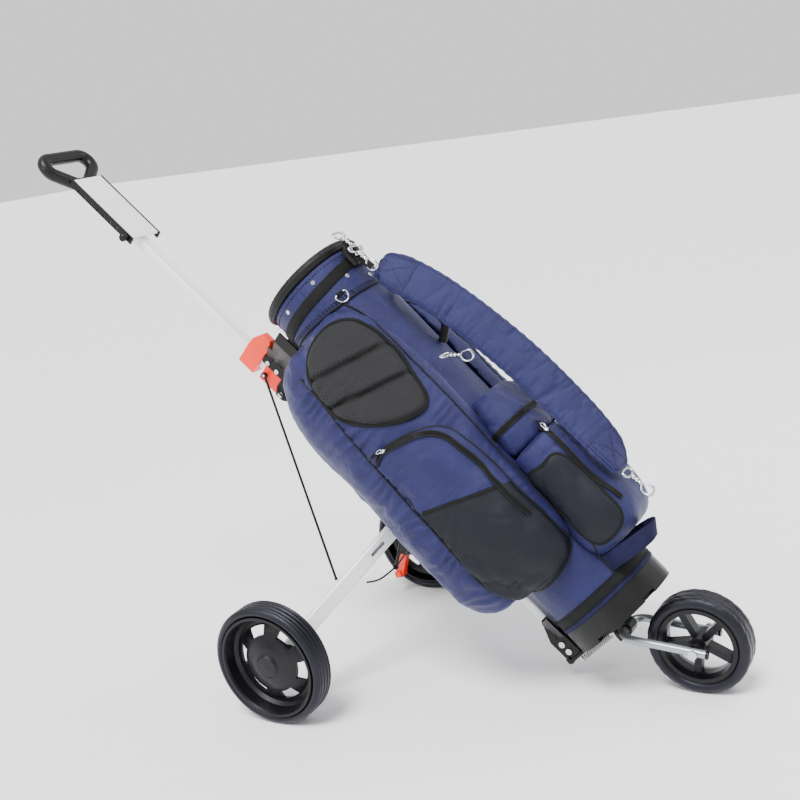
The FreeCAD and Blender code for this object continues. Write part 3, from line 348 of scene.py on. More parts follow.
def sweep(name, line, normals, section, mat, closed=False, body="frame", scale=None):
    """A closed section of (across, out) points carried along a line on a surface."""
    _, n, b = frames_along(line, normals, closed)
    k = np.ones(len(line)) if scale is None else scale
    rings = [line + (b * a + n * h) * k[:, None] for a, h in section]
    verts = np.stack(rings, 1).reshape(-1, 3)
    m = len(section)
    faces = [tuple(f) for f in grid_faces(len(line), m, closed, True)]
    if not closed:
        faces += [tuple(range(m))[::-1], tuple(range(len(verts) - m, len(verts)))]
    return piece(name, to_world(verts), faces, mat, body)


def disc(r, n=10, lift=0.0, flat=1.0):
    turns = [i * 2 * math.pi / n for i in range(n)]
    return [(r * math.cos(a), lift + flat * r * math.sin(a)) for a in turns]


def tape(width, thick, crown=0.0):
    w, c = width / 2, min(thick, width) * 0.3
    return [(-w, 0), (-w, thick - c), (-w + c, thick), (0, thick + crown), (w - c, thick), (w, thick - c), (w, 0),
            (0, -0.2)]


class Skin:
    """The finished soft surfaces of the bag, for laying seams and patches on."""

    def __init__(self, objects):
        verts, faces, base = [], [], 0
        for o in objects:
            co = np.array([v.co for v in o.data.vertices], float).reshape(-1, 3)
            verts += [Vector(c) for c in to_bag(co)]
            faces += [tuple(base + i for i in f.vertices) for f in o.data.polygons]
            base += len(co)
        self.tree = BVHTree.FromPolygons(verts, faces)

    def cast(self, starts, aims):
        """Where each ray first meets the skin, and the skin's normal there. A miss takes the nearest point."""
        spots, normals = [], []
        for s, a in zip(starts, aims):
            a = Vector(a).normalized()
            at, n, _, _ = self.tree.ray_cast(Vector(s), a)
            if at is None:
                at, n, _, _ = self.tree.find_nearest(Vector(s) + a * 150)
            if n.dot(a) > 0:
                n = -n
            spots.append(at)
            normals.append(n)
        return np.array(spots), np.array(normals)

    def side(self, xz, sign=-1):
        """Square on from the right side (sign -1) or the left."""
        xz = np.asarray(xz, float)
        starts = np.stack([xz[:, 0], np.full(len(xz), sign * 320.0), xz[:, 1]], 1)
        return self.cast(starts, [(0, -sign, 0)] * len(xz))

    def round(self, turn_z, centre=(0.0, 0.0)):
        """Inwards from outside; turns are measured from the front (x) towards the right side."""
        tz = np.asarray(turn_z, float)
        a = np.radians(tz[:, 0])
        out = np.stack([np.cos(a), -np.sin(a), np.zeros(len(a))], 1)
        starts = out * 330 + np.stack([np.full(len(a), centre[0]), np.full(len(a), centre[1]), tz[:, 1]], 1)
        return self.cast(starts, -out)


def eased(values, times=2, closed=False):
    for _ in range(times):
        if closed:
            values = (np.roll(values, 1, 0) + 2 * values + np.roll(values, -1, 0)) / 4
        else:
            inner = (values[:-2] + 2 * values[1:-1] + values[2:]) / 4
            values = np.vstack([values[:1], inner, values[-1:]])
    return values


def stitches(name, lines, mat, pitch=5.0, long=3.2, r=0.55, body="frame"):
    """Sewing stitches as short rounded threads lying on the lines."""
    verts, faces = [], []
    for line, normals in lines:
        far = np.r_[0, np.cumsum(np.linalg.norm(np.diff(line, axis=0), axis=1))]
        t, n, b = frames_along(line, normals)
        for s in np.arange(pitch / 2, far[-1], pitch):
            k = min(int(np.searchsorted(far, s)), len(line) - 1)
            base = len(verts)
            for along, k_r in ((-0.5, 0), (-0.36, 1), (0.36, 1), (0.5, 0)):
                for i in range(5 if k_r else 1):
                    a = i * 2 * math.pi / 5
                    verts.append(line[k] + t[k] * along * long + n[k] * (0.3 + k_r * r * math.sin(a))
                                 + b[k] * k_r * r * math.cos(a))
            for i in range(5):
                j = (i + 1) % 5
                faces += [(base, base + 1 + j, base + 1 + i), (base + 11, base + 6 + i, base + 6 + j),
                          (base + 1 + i, base + 1 + j, base + 6 + j, base + 6 + i)]
    return piece(name, to_world(np.array(verts)), faces, mat, body)


def baked(o, name):
    """The object's mesh with its modifiers applied."""
    bpy.context.view_layer.update()
    mesh = bpy.data.meshes.new_from_object(o.evaluated_get(bpy.context.evaluated_depsgraph_get()))
    mesh.name = name
    return mesh


# ---- soft pieces ---------------------------------------------------------------------
def puffed(name, node, mat, cap=9.0, voxel=6.0, pressure=4.0):
    """The CAD solid as stuffed fabric: remeshed, blown up a little by a cloth simulation, then subdivided."""
    mesh = NODES[node].data.copy()
    mesh.materials.clear()
    o = bpy.data.objects.new(name, mesh)
    bpy.context.scene.collection.objects.link(o)
    remesh = o.modifiers.new("remesh", "REMESH")
    remesh.mode, remesh.voxel_size = "VOXEL", voxel / 1000
    o.data = baked(o, name)
    o.modifiers.clear()
    ease = o.modifiers.new("ease", "SMOOTH")
    ease.factor, ease.iterations = 0.5, 6
    o.data = baked(o, name)
    o.modifiers.clear()
    rest = np.array([v.co for v in o.data.vertices], float)
    held = o.vertex_groups.new(name="held")
    local = to_bag(rest)
    reach = np.hypot(local[:, 0], local[:, 1]) - skin_r(local[:, 2])
    held.add([int(i) for i in np.where(reach < 7)[0]], 1.0, "REPLACE")
    cloth = o.modifiers.new("cloth", "CLOTH")
    s = cloth.settings
    s.quality, s.mass, s.tension_stiffness, s.compression_stiffness = 5, 0.3, 12, 12
    s.use_pressure, s.uniform_pressure_force = True, pressure
    s.effector_weights.gravity = 0
    s.vertex_group_mass = "held"
    cloth.collision_settings.use_collision = False
    scene = bpy.context.scene
    for f in range(1, 21):
        scene.frame_set(f)
    blown = baked(o, name)
    o.modifiers.clear()
    now = np.array([v.co for v in blown.vertices], float)
    step = now - rest
    size = np.linalg.norm(step, axis=1)
    step *= (np.minimum(size, cap / 1000) / np.maximum(size, 1e-9))[:, None]
    blown.vertices.foreach_set("co", (rest + step).astype(np.float32).ravel())
    o.data = blown
    scene.frame_set(1)
    finer = o.modifiers.new("finer", "SUBSURF")
    finer.levels = finer.render_levels = 1
    o.data = baked(o, name)
    o.modifiers.clear()
    o.vertex_groups.clear()
    for one in (mat if isinstance(mat, (list, tuple)) else [mat]):
        o.data.materials.append(one)
    o.data.polygons.foreach_set("use_smooth", [True] * len(o.data.polygons))
    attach(o, "frame")
    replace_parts(o, node)
    return o


def creased(o, seams, seed, fold=2.5, fold_size=25.0, depth=2.2, pucker=0.6, broad=1.7, gains=(1.0,)):
    """Moves a soft piece's surface: broad sag, gathers that run out from each seam, and the seam's own dip."""
    mesh = o.data
    co = to_bag(np.array([v.co for v in mesh.vertices], float))
    nrm = np.array([v.normal for v in mesh.vertices], float) @ BAG.T
    move = broad * wavy(co, 75, seed, (1, 1, 1.5)) + 0.35 * fold * wavy(co, 24, seed + 1, (1, 1, 1.6))
    ridge = np.clip(wavy(co, 42, seed + 2, (1.4, 1.4, 0.8)), 0, None)
    move += 0.5 * fold * ridge ** 2
    if seams:
        points = np.vstack(seams)
        along = np.concatenate([np.arange(len(s)) * 3.0 + 700 * i for i, s in enumerate(seams)])
        gain = np.concatenate([np.full(len(s), gains[i % len(gains)]) for i, s in enumerate(seams)])
        tree = KDTree(len(points))
        for i, p in enumerate(points):
            tree.insert(Vector(p), i)
        tree.balance()
        found = [tree.find(Vector(p)) for p in co]
        near = np.array([f[2] for f in found])
        s = along[[f[1] for f in found]]
        k = gain[[f[1] for f in found]]
        wander = wavy(co, 60, seed + 3)
        swell = 0.45 + 0.55 * np.abs(wavy(co, 90, seed + 9))
        gather = np.sin(2 * math.pi * s / fold_size + 5.0 * wander) * swell
        move += k * fold * gather * np.exp(-near / 42) * (1 - np.exp(-near / 9))
        move += k * pucker * np.sin(2 * math.pi * s / 12 + 3 * wander) * np.exp(-near / 11)
        move -= depth * np.exp(-(near / 5.5) ** 2)
    mesh.vertices.foreach_set("co", to_world(co + nrm * move[:, None]).astype(np.float32).ravel())
    mesh.update()


def patch(name, skin, outline, height, mat, gusset=12.0, channels=(), channel=(0, 0), split=None,
          wrinkle=0.5, seed=1, sink=2.5, rings=46, sign=-1):
    """A padded patch on the bag's side. outline is (x, z) seen square on; the patch crowns up to height and dips
    along each channel line ((x, z), (x, z))."""
    edge = smooth_line(outline, 3.0, closed=True)
    middle = edge.mean(0)
    share = np.linspace(0, 1, rings) ** 0.85
    xz = (middle + share[:, None, None] * (edge - middle)[None]).reshape(-1, 2)
    spots, normals = skin.side(xz, sign)
    shape = (rings, len(edge), 3)
    spots = spots.reshape(shape)
    normals = normals.reshape(shape)
    for _ in range(6):
        spots = (np.roll(spots, 1, 1) + 2 * spots + np.roll(spots, -1, 1)) / 4
    for _ in range(3):
        normals[1:-1] = (normals[:-2] + 2 * normals[1:-1] + normals[2:]) / 4
        normals = (np.roll(normals, 1, 1) + 2 * normals + np.roll(normals, -1, 1)) / 4
    normals /= np.linalg.norm(normals, axis=2)[..., None] + 1e-9
    inset = (1 - share)[:, None] * np.linalg.norm(edge - middle, axis=1)[None]
    lift = height * (1 - (1 - np.clip(inset / gusset, 0, 1)) ** 2.4)
    lift += 0.16 * height * np.clip(inset / 60, 0, 1)
    flat = xz.reshape(rings, len(edge), 2)
    for p, q in channels:
        p, q = np.array(p, float), np.array(q, float)
        d = (q - p) / np.linalg.norm(q - p)
        away = np.abs((flat - p) @ np.array([-d[1], d[0]]))
        lift *= 1 - channel[0] * np.exp(-(away / channel[1]) ** 2)
    rough = wavy(spots.reshape(-1, 3), 26, seed).reshape(rings, -1) + np.clip(
        wavy(spots.reshape(-1, 3), 40, seed + 1, (1, 1, 1.8)).reshape(rings, -1), 0, None) * 2
    lift += wrinkle * rough * np.clip(inset / 10, 0, 1)
    top = spots + normals * lift[..., None]
    low = spots[-1] - normals[-1] * sink
    verts = np.vstack([top.reshape(-1, 3), low])
    n = len(edge)
    faces = grid_faces(rings, n, False, True)
    base = (rings - 1) * n
    rim = [(base + i, rings * n + i, rings * n + (i + 1) % n, base + (i + 1) % n) for i in range(n)]
    floor = [tuple(range(rings * n, rings * n + n))]
    faces = [tuple(f) for f in faces] + rim + floor
    if sign > 0:
        faces = [f[::-1] for f in faces]
    o = piece(name, to_world(verts), faces, mat)
    if split is not None:
        for f in o.data.polygons:
            c = to_bag(np.array(f.center))
            f.material_index = int(c[2] < split(c[0]))
    return o, edge, inset


def bag_body(m):
    """The tube of the bag, with an outer skin that sags a little between its stays and a lining inside."""
    nu = 260
    a = np.linspace(0, 2 * math.pi, nu, endpoint=False)
    z_out = np.linspace(BASE_TOP, RIM_Z, 240)
    profile = [(skin_r(z), z, 1) for z in z_out] + [(skin_r(RIM_Z) - 7, RIM_Z, 0), (skin_r(400) - 7.5, 400, 0),
                                                    (skin_r(50) - 7, 50, 0), (skin_r(44) - 6, 44.5, 0)]
    verts = []
    for r, z, outer in profile:
        ring = np.stack([r * np.cos(a), r * np.sin(a), np.full(nu, z)], 1)
        if outer:
            fade = min(1, (z - BASE_TOP) / 60, (RIM_Z - z) / 60)
            k = (1.3 * wavy(ring, 80, 5, (1, 1, 2.2)) + 0.5 * wavy(ring, 26, 6, (1, 1, 2.5)) - 1.0) * max(fade, 0)
            ring[:, :2] *= (1 + k / r)[:, None]
        verts.append(ring)
    faces = grid_faces(len(profile), nu, True, True)
    o = piece("bag_body", to_world(np.vstack(verts)), faces, m["navy"])
    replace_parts(o, "bag_shell")
    return o


BASE_TOP = 44.0


def collar_low(turn):
    """Height of the collar's lower seam; it drops towards the front."""
    return 771.0 - 14.0 * np.cos(np.radians(turn))


def collar(m):
    turn = np.linspace(0, 360, 300, endpoint=False)
    a = np.radians(turn)
    rows = np.linspace(0, 1, 26)
    verts = []
    for k in rows:
        z = collar_low(turn) + (RIM_Z - collar_low(turn)) * k
        r = skin_r(z) + 2.0 + 1.4 * math.sin(math.pi * k) + 0.5 * wavy(
            np.stack([104 * np.cos(a), 104 * np.sin(a), z], 1), 40, 31)
        verts.append(np.stack([r * np.cos(a), -r * np.sin(a), z], 1))
    for k in (1, 0):
        z = collar_low(turn) + (RIM_Z - collar_low(turn)) * k
        r = skin_r(z) - 0.6
        verts.append(np.stack([r * np.cos(a), -r * np.sin(a), z], 1))
    faces = grid_faces(len(verts), 300, True, True)[:, ::-1]
    o = piece("collar", to_world(np.vstack(verts)), faces, m["navy"])
    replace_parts(o, "collar_band")
    lines = []
    for dz in (5.5, 9.5):
        lines.append(ring_line(turn, collar_low(turn) + dz, 2.9))
    lines.append(ring_line(turn, np.full(300, 838.0), 2.7))
    stitches("collar_stitching", lines, m["binding"], pitch=6.4, long=4.2, r=0.85)
    for i, at in enumerate((74.0, 180.0, 286.0)):
        z = np.linspace(collar_low(at) + 2, 843, 26)
        r = skin_r(z) + 3.0
        b = math.radians(at)
        line = np.stack([r * math.cos(b), -r * math.sin(b), z], 1)
        out = np.tile([math.cos(b), -math.sin(b), 0.0], (26, 1))
        sweep(f"collar_seam_{i}", line, out, disc(1.1, 8), m["navy"])
    edge, out = ring_line(turn, collar_low(turn), 1.6)
    sweep("collar_piping", edge, out, disc(1.9, 8), m["binding"], closed=True)


def ring_line(turn, z, lift):
    a = np.radians(turn)
    out = np.stack([np.cos(a), -np.sin(a), np.zeros(len(a))], 1)
    z = np.broadcast_to(z, a.shape)
    return out * (skin_r(z) + lift)[:, None] + np.stack([0 * a, 0 * a, z], 1), out


def rim(m):
    """Padded roll round the mouth, with a ridge line and small gathers."""
    nu, nv = 360, 36
    a = np.linspace(0, 2 * math.pi, nu, endpoint=False)
    b = np.linspace(0, 2 * math.pi, nv, endpoint=False)
    verts = []
    for t in a:
        rr = 11.0 + 0.12 * math.sin(46 * t) + 0.08 * math.sin(71 * t + 1)
        dent = 1 - 0.14 * np.exp(-((b - 0.55) / 0.13) ** 2) - 0.12 * np.exp(-((b - 5.75) / 0.12) ** 2)
        r = R_TOP - 2 + rr * dent * np.cos(b)
        verts.append(np.stack([r * math.cos(t), r * math.sin(t), RIM_Z + 12.1 + rr * dent * np.sin(b)], 1))
    faces = grid_faces(nu, nv, True, True)
    o = piece("rim_roll", to_world(np.vstack(verts)), faces, m["binding"])
    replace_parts(o, "bag_rim")


def bands(m):
    """The bands sewn round the foot of the bag."""
    turn = np.linspace(0, 360, 240, endpoint=False)
    for name, z0, z1, lift, mat, slot in (("foot_band_navy", 44.5, 52, 2.4, "navy_web", "navy_nylon"),
                                          ("foot_band_black", 52, 73, 2.0, "black_web", "black_fabric")):
        line, out = ring_line(turn, np.full(240, (z0 + z1) / 2), 0)
        sweep(name, line, out, tape(z1 - z0, lift, 0.3), m[mat], closed=True)
    lines = [ring_line(turn, np.full(240, z), 2.2) for z in (54.5, 70.5)]
    stitches("foot_stitching", lines, m["navy_web"], pitch=5.5, r=0.5)


STRAP = ((768, 138, 50), (750, 154, 56), (645, 190, 57), (481, 216, 55), (332, 223, 42), (240, 220, 26),
         (196, 209, 14))


def strap_frame(n=400):
    rows = smooth_line(np.array([(z, x, tilt) for z, x, tilt in STRAP], float), 580 / (n - 1))
    z, x, tilt = rows.T
    centre = np.stack([x, np.full(len(x), -20.0), z], 1)
    along = np.gradient(centre, axis=0)
    along /= np.linalg.norm(along, axis=1)[:, None]
    wide = np.stack([np.sin(np.radians(tilt)), np.cos(np.radians(tilt)), 0 * tilt], 1)
    thick = np.cross(along, wide)
    thick /= np.linalg.norm(thick, axis=1)[:, None]
    return centre, along, np.cross(thick, along), thick


def shoulder_strap(m):
    """Quilted strap: full in the middle, gathered along both sewn edges, with a stitched patch at each end."""
    centre, _, wide, thick = strap_frame()
    n = len(centre)
    far = np.r_[0, np.cumsum(np.linalg.norm(np.diff(centre, axis=0), axis=1))]
    left = np.minimum(far, far[-1] - far)
    half = 37.5 * np.minimum(1, 0.56 + 0.44 * np.sqrt(np.clip(left / 46, 0, 1)))
    rng = np.random.default_rng(7)
    folds = [(rng.uniform(60, far[-1] - 60), rng.uniform(-0.7, 0.7), rng.uniform(4, 9), rng.uniform(0.6, 1.9),
              rng.uniform(-1.2, 1.2)) for _ in range(34)]
    full = 6.6 * np.minimum(1, 0.45 + left / 60)
    around = np.linspace(0, 2 * math.pi, 44, endpoint=False)
    verts = np.zeros((n, 44, 3))
    for j, t in enumerate(around):
        c, s = math.cos(t), math.sin(t)
        across = np.sign(c) * abs(c) ** 0.75
        puff = np.sign(s) * abs(s) ** 0.55 * (1 - 0.55 * abs(across) ** 6)
        wave = np.sin(2 * math.pi * far / 27 + (0.9 if across > 0 else 0))
        wave = wave + 0.6 * np.sin(2 * math.pi * far / 11.5)
        body = centre + wide * (across * half)[:, None]
        depth = full * puff + 0.75 * wave * abs(across) ** 2 * puff * (left > 66) + 0.5 * wavy(
            body, 40, 11) * puff
        for at, lean, wide_, deep, side_ in folds:
            along = (far - at - lean * across * half) / wide_
            depth -= deep * puff * np.exp(-along ** 2 - (across - side_) ** 2)
        edge = 0.5 * np.sin(2 * math.pi * far / 19 + 2 * (across > 0)) * abs(across) ** 4
        verts[:, j] = body + wide * (edge * np.sign(across))[:, None] + thick * depth[:, None]
    faces = [tuple(f) for f in grid_faces(n, 44, False, True)]
    faces += [tuple(range(44))[::-1], tuple(range(44 * (n - 1), 44 * n))]
    o = piece("strap_pad", to_world(verts.reshape(-1, 3)), faces, m["navy"])
    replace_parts(o, "shoulder_strap")
    skin = Skin([o])
    lines, crosses = [], []
    keep = (left > 8)
    for side in (-1, 1):
        start = centre + wide * (half * 0.86 * side)[:, None] + thick * 40
        lines.append(skin.cast(start[keep], -thick[keep]))
    stitches("strap_stitching", [(eased(p), n_) for p, n_ in lines], m["binding"], pitch=4.2, long=2.8, r=0.45)
    for tag, ends in (("top", (left < 74) & (far < far[-1] / 2)), ("low", (left < 74) & (far > far[-1] / 2))):
        rows = np.where(ends)[0]
        cols = np.linspace(-0.8, 0.8, 15)
        sheet = np.zeros((len(rows), 15, 3))
        for j, c in enumerate(cols):
            above = centre[rows] + wide[rows] * (half[rows] * c)[:, None] + thick[rows] * 40
            p, q = skin.cast(above, -thick[rows])
            sheet[:, j] = eased(p) + eased(q) * 0.9
        lower = sheet - thick[rows][:, None] * 1.6
        grid = grid_faces(len(rows), 15)
        k = len(rows) * 15
        ring_top = ([i * 15 for i in range(len(rows))] + [(len(rows) - 1) * 15 + j for j in range(1, 15)]
                    + [i * 15 + 14 for i in range(len(rows) - 2, -1, -1)] + list(range(13, 0, -1)))
        wall = [(a, b, b + k, a + k) for a, b in zip(ring_top, ring_top[1:] + ring_top[:1])]
        faces = [tuple(f) for f in grid] + [tuple(f)[::-1] for f in grid + k] + wall
        piece(f"strap_patch_{tag}", to_world(np.vstack([sheet.reshape(-1, 3), lower.reshape(-1, 3)])), faces,
              m["navy"])
        r0, r1 = 3, len(rows) - 4
        for p, q in (((r0, 1), (r1, 1)), ((r0, 13), (r1, 13)), ((r0, 1), (r0, 13)), ((r1, 1), (r1, 13)),
                     ((r0, 2), (r1, 12)), ((r0, 12), (r1, 2))):
            steps = 30
            i = np.linspace(p[0], q[0], steps).round().astype(int)
            j = np.linspace(p[1], q[1], steps).round().astype(int)
            crosses.append((eased(sheet[i, j], 3), thick[rows][i]))
    stitches("strap_patch_stitching", crosses, m["binding"], pitch=4.5, long=3, r=0.45)


def zipper(name, skin_line, m, width=15.0):
    """Zip: woven tape, two raised edges and a row of teeth down the middle."""
    line, normals = skin_line
    line, normals = eased(line, 4), eased(normals, 6)
    _, n, b = frames_along(line, normals)
    sweep(f"{name}_tape", line + n * 0.8, n, tape(width, 1.8), m["black_web"])
    for tag, k in (("a", -1), ("b", 1)):
        sweep(f"{name}_edge_{tag}", line + b * (k * width * 0.42) + n * 2.2, n, disc(1.3, 8), m["binding"])
    far = np.r_[0, np.cumsum(np.linalg.norm(np.diff(line, axis=0), axis=1))]
    at = np.arange(1.5, far[-1] - 1, 2.6)
    core = np.stack([np.interp(at, far, (line + n * 2.6)[:, i]) for i in range(3)], 1)
    cn = np.stack([np.interp(at, far, n[:, i]) for i in range(3)], 1)
    tt, nn, bb = frames_along(core, cn)
    verts, faces = [], []
    for k in range(len(core)):
        side = 0.5 if k % 2 else -0.5
        base = len(verts)
        for x, y, z in ((-1, -1, -1), (1, -1, -1), (1, 1, -1), (-1, 1, -1), (-.7, -.8, 1), (.7, -.8, 1),
                        (.7, .8, 1), (-.7, .8, 1)):
            verts.append(core[k] + tt[k] * x * 0.8 + bb[k] * (y * 2.1 + side) + nn[k] * z * 0.7)
        faces += [tuple(base + i for i in f) for f in
                  ((3, 2, 1, 0), (4, 5, 6, 7), (0, 1, 5, 4), (1, 2, 6, 5), (2, 3, 7, 6), (3, 0, 4, 7))]
    piece(f"{name}_teeth", to_world(np.array(verts)), faces, m["plastic"], smooth=False)


def zip_pull(name, at, along, out, m, reach=26.0):
    """Chrome slider with its bail, and a cord pull that hangs off it."""
    at, along, out = (np.asarray(v, float) for v in (at, along, out))
    along /= np.linalg.norm(along)
    out = out - (out @ along) * along
    out /= np.linalg.norm(out)
    wide = np.cross(out, along)
    rings = []
    for k, w, h in ((-6.5, 2.0, 1.6), (-5.5, 3.4, 2.6), (0, 4.2, 3.0), (5.0, 3.4, 2.8), (6.5, 2.0, 1.8)):
        rings += [at + along * k + wide * (w * c) + out * (2.6 + h * s) for c, s in
                  ((-1, -.6), (-1, .5), (-.6, 1), (.6, 1), (1, .5), (1, -.6))]
    faces = [tuple(f) for f in grid_faces(5, 6, False, True)] + [tuple(range(6))[::-1], tuple(range(24, 30))]
    piece(f"{name}_slider", to_world(np.array(rings)), faces, m["chrome"])
    loop = smooth_line([at + out * 5 + wide * 2.5, at + out * 7.5 - along * 8 + wide * 3, at + out * 6 - along * 14,
                        at + out * 7.5 - along * 8 - wide * 3, at + out * 5 - wide * 2.5], 1.5)
    sweep(f"{name}_bail", loop, np.tile(out, (len(loop), 1)), disc(0.9, 8), m["chrome"])
    cord = smooth_line([at + out * 6 - along * 12 + wide * 1.6, at + out * 6 - along * (reach * .7) + wide * 3,
                        at + out * 4 - along * (reach + 6), at + out * 6 - along * (reach * .7) - wide * 3,
                        at + out * 6 - along * 12 - wide * 1.6], 1.5)
    sweep(f"{name}_pull", cord, np.tile(out, (len(cord), 1)), disc(1.5, 8), m["black_web"])


def snap_hook(name, z, x, y, swing, m, grow=1.25):
    """Swivel snap hook: a wide eye for webbing, a turned barrel and a hook with its spring gate."""
    c, s = math.cos(math.radians(swing)), math.sin(math.radians(swing))

    def at(points):
        swung = np.array([[c, 0, s], [0, 1, 0], [-s, 0, c]])
        return np.array(points, float) * grow @ swung + np.array([x, y, z])

    up = np.array([[1.0, 0.0, 0.0]])
    eye = at(smooth_line([(0, -11, 4), (0, 0, 5.5), (0, 11, 4), (0, 13, -2), (0, 8, -6), (0, 0, -7), (0, -8, -6),
                          (0, -13, -2)], 1.5, closed=True))
    made = [sweep(f"{name}_eye", eye, np.repeat(up, len(eye), 0), disc(2.3, 10), m["chrome"], closed=True)]
    stem = at([(0, 0, k) for k in np.linspace(-8, -26, 19)])
    size = np.array([3.2, 4.4, 4.8, 4.8, 4.4, 3.0, 3.0, 4.2, 4.6, 4.6, 4.2, 3.0, 3.0, 3.4, 3.8, 4.0, 3.8, 3.2, 2.6])
    made.append(sweep(f"{name}_barrel", stem, np.repeat(up, 19, 0), disc(1.0, 16), m["chrome"],
                      scale=size))
    for part, points, wire in (
            ("hook", [(0, 0, -25), (-6, 0, -28), (-9, 0, -35), (-6.5, 0, -43), (0, 0, -46), (6.5, 0, -43),
                      (8, 0, -38)], disc(2.3, 10)),
            ("gate", [(0.5, 0, -26), (4.5, 0, -29), (7.6, 0, -38)], disc(1.3, 8))):
        line = at(smooth_line(points, 1.2))
        made.append(sweep(f"{name}_{part}", line, np.repeat([[0.0, 1.0, 0.0]], len(line), 0), wire, m["chrome"]))
    return made


def ring_tab(name, z, turn, m, lift=3.4):
    """A D-ring and the folded webbing tab that holds it."""
    a = math.radians(turn)
    out, around = np.array([math.cos(a), -math.sin(a), 0]), np.array([-math.sin(a), -math.cos(a), 0])
    centre = out * (skin_r(z) + lift) + np.array([0, 0, z])
    up = np.array([0.0, 0.0, 1.0])
    loop = [centre + around * p + up * q for p, q in smooth_line(
        [(-11, 7), (0, 7), (11, 7), (11.5, 0), (7.5, -8), (0, -11), (-7.5, -8), (-11.5, 0)], 1.5, closed=True)]
    ring = sweep(f"{name}_ring", np.array(loop), np.tile(out, (len(loop), 1)), disc(1.6, 10), m["chrome"], closed=True)
    tab = [centre - out * 3.0 + up * 22, centre - out * 2.0 + up * 13, centre + out * 2.2 + up * 8,
           centre + out * 1.0 + up * 3.5, centre - out * 2.6 + up * 5]
    tab = smooth_line(tab, 1.5)
    side = np.cross(np.gradient(tab, axis=0), around)
    sweep(f"{name}_tab", tab, side, tape(15, 1.2), m["black_web"])
    return ring


# ---- wheels and springs --------------------------------------------------------------
def tyre(name, node, body, outer, inner, width, m, grooves=(), slant=None):
    low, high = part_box(node)
    c = (low + high) / 2
    nu = 420
    half = width / 2
    section = []
    for k in np.linspace(-1, 1, 61):
        y = k * half
        shoulder = max(0.0, (abs(k) - 0.62) / 0.38)
        r = outer - (outer - inner) * 0.55 * shoulder ** 2.6
        for g, w, d in grooves:
            r -= d * math.exp(-((y - g) / w) ** 4)
        section.append((y, r))
    section += [(half * 0.96, inner + (outer - inner) * 0.25), (half * 0.80, inner), (-half * 0.80, inner),
                (-half * 0.96, inner + (outer - inner) * 0.25)]
    a = np.linspace(0, 2 * math.pi, nu, endpoint=False)
    verts = []
    for y, r in section:
        rr = np.full(nu, r)
        if slant and abs(y) < half * 0.86 and r > inner + 0.4 * (outer - inner):
            phase = (a * slant[0] / (2 * math.pi) + slant[1] * abs(y) / half) % 1
            rr = rr - slant[2] * (0.5 - 0.5 * np.tanh((np.abs(phase - 0.5) - 0.17) * 22)) * min(
                1, (half * 0.86 - abs(y)) / 2 + 0.3) * (abs(y) > half * 0.1)
        verts.append(np.stack([c.x + rr * np.cos(a) / 1000, np.full(nu, c.y + y / 1000),
                               c.z + rr * np.sin(a) / 1000], 1))
    o = piece(name, np.vstack(verts), grid_faces(len(section), nu, True, True)[:, ::-1], m["tyre"], body)
    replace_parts(o, node)


def coil(m):
    """The return spring of the front fork as a wound wire."""
    turns, start, end = 17, np.array([-124.0, -22, -13.5]), np.array([-46.0, -22, -13.5])
    t = np.linspace(0, 1, turns * 14)
    line = start + (end - start) * t[:, None] + np.stack(
        [0 * t, 3.9 * np.cos(2 * math.pi * turns * t), 3.9 * np.sin(2 * math.pi * turns * t)], 1)
    axis = np.tile([1.0, 0.0, 0.0], (len(line), 1))
    o = sweep("return_spring", line, axis, disc(0.95, 7), m["steel"])
    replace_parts(o, "fork_spring")


def cable(name, node, points, m):
    """Brake cable on one smooth spline, bending between the frame and its leg."""
    curve = bpy.data.curves.new(name, "CURVE")
    curve.dimensions = "3D"
    spline = curve.splines.new("NURBS")
    spline.points.add(len(points) - 1)
    for p, q in zip(spline.points, points):
        p.co = ((q[0] - CART_X) / 1000, q[1] / 1000, q[2] / 1000, 1)
    spline.order_u, spline.use_endpoint_u = 3, True
    curve.bevel_depth, curve.bevel_resolution, curve.resolution_u, curve.use_fill_caps = 0.002, 3, 14, True
    made = bpy.data.objects.new(name + "_curve", curve)
    bpy.context.scene.collection.objects.link(made)
    mesh = baked(made, name)
    bpy.data.objects.remove(made)
    mesh.materials.clear()
    mesh.materials.append(m["rubber"])
    o = bpy.data.objects.new(name, mesh)
    bpy.context.scene.collection.objects.link(o)
    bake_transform(o)
    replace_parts(o, node)


# ---- the build -----------------------------------------------------------------------
PAD = [(33, 742), (-6, 735), (-34, 714), (-49, 678), (-52, 628), (-40, 590), (-14, 560), (18, 533), (52, 512),
       (82, 508), (92, 540), (94, 600), (90, 660), (78, 708), (60, 733)]
ZIP = [(-50, 499), (-30, 509), (20, 498), (62, 479), (80, 450), (86, 400), (87, 329), (88, 245), (82, 186),
       (62, 154), (28, 137), (-24, 133), (-56, 146), (-70, 176), (-66, 240), (-60, 300), (-57, 380), (-54, 450)]
FRONT_NET = [(104, 294), (140, 292), (170, 293), (178, 250), (180, 200), (178, 150), (164, 128), (134, 122),
             (106, 134), (102, 210)]
SEAM_FRONT = [(57, 778), (49, 755), (42, 718), (42, 662), (43, 571), (43, 460), (43, 360), (43, 270), (42, 190),
              (40, 110), (40, 74)]
SEAM_BACK = [(-64, 712), (-62, 691), (-58, 640), (-62, 560), (-64, 500), (-66, 400), (-66, 300), (-74, 210),
             (-70, 160)]
# height, forward, side and swing of each strap hook
HOOKS = ((862, 134, -34, 10), (822, 138, -34, 6), (560, 124, -42, 48), (184, 212, -20, 8))


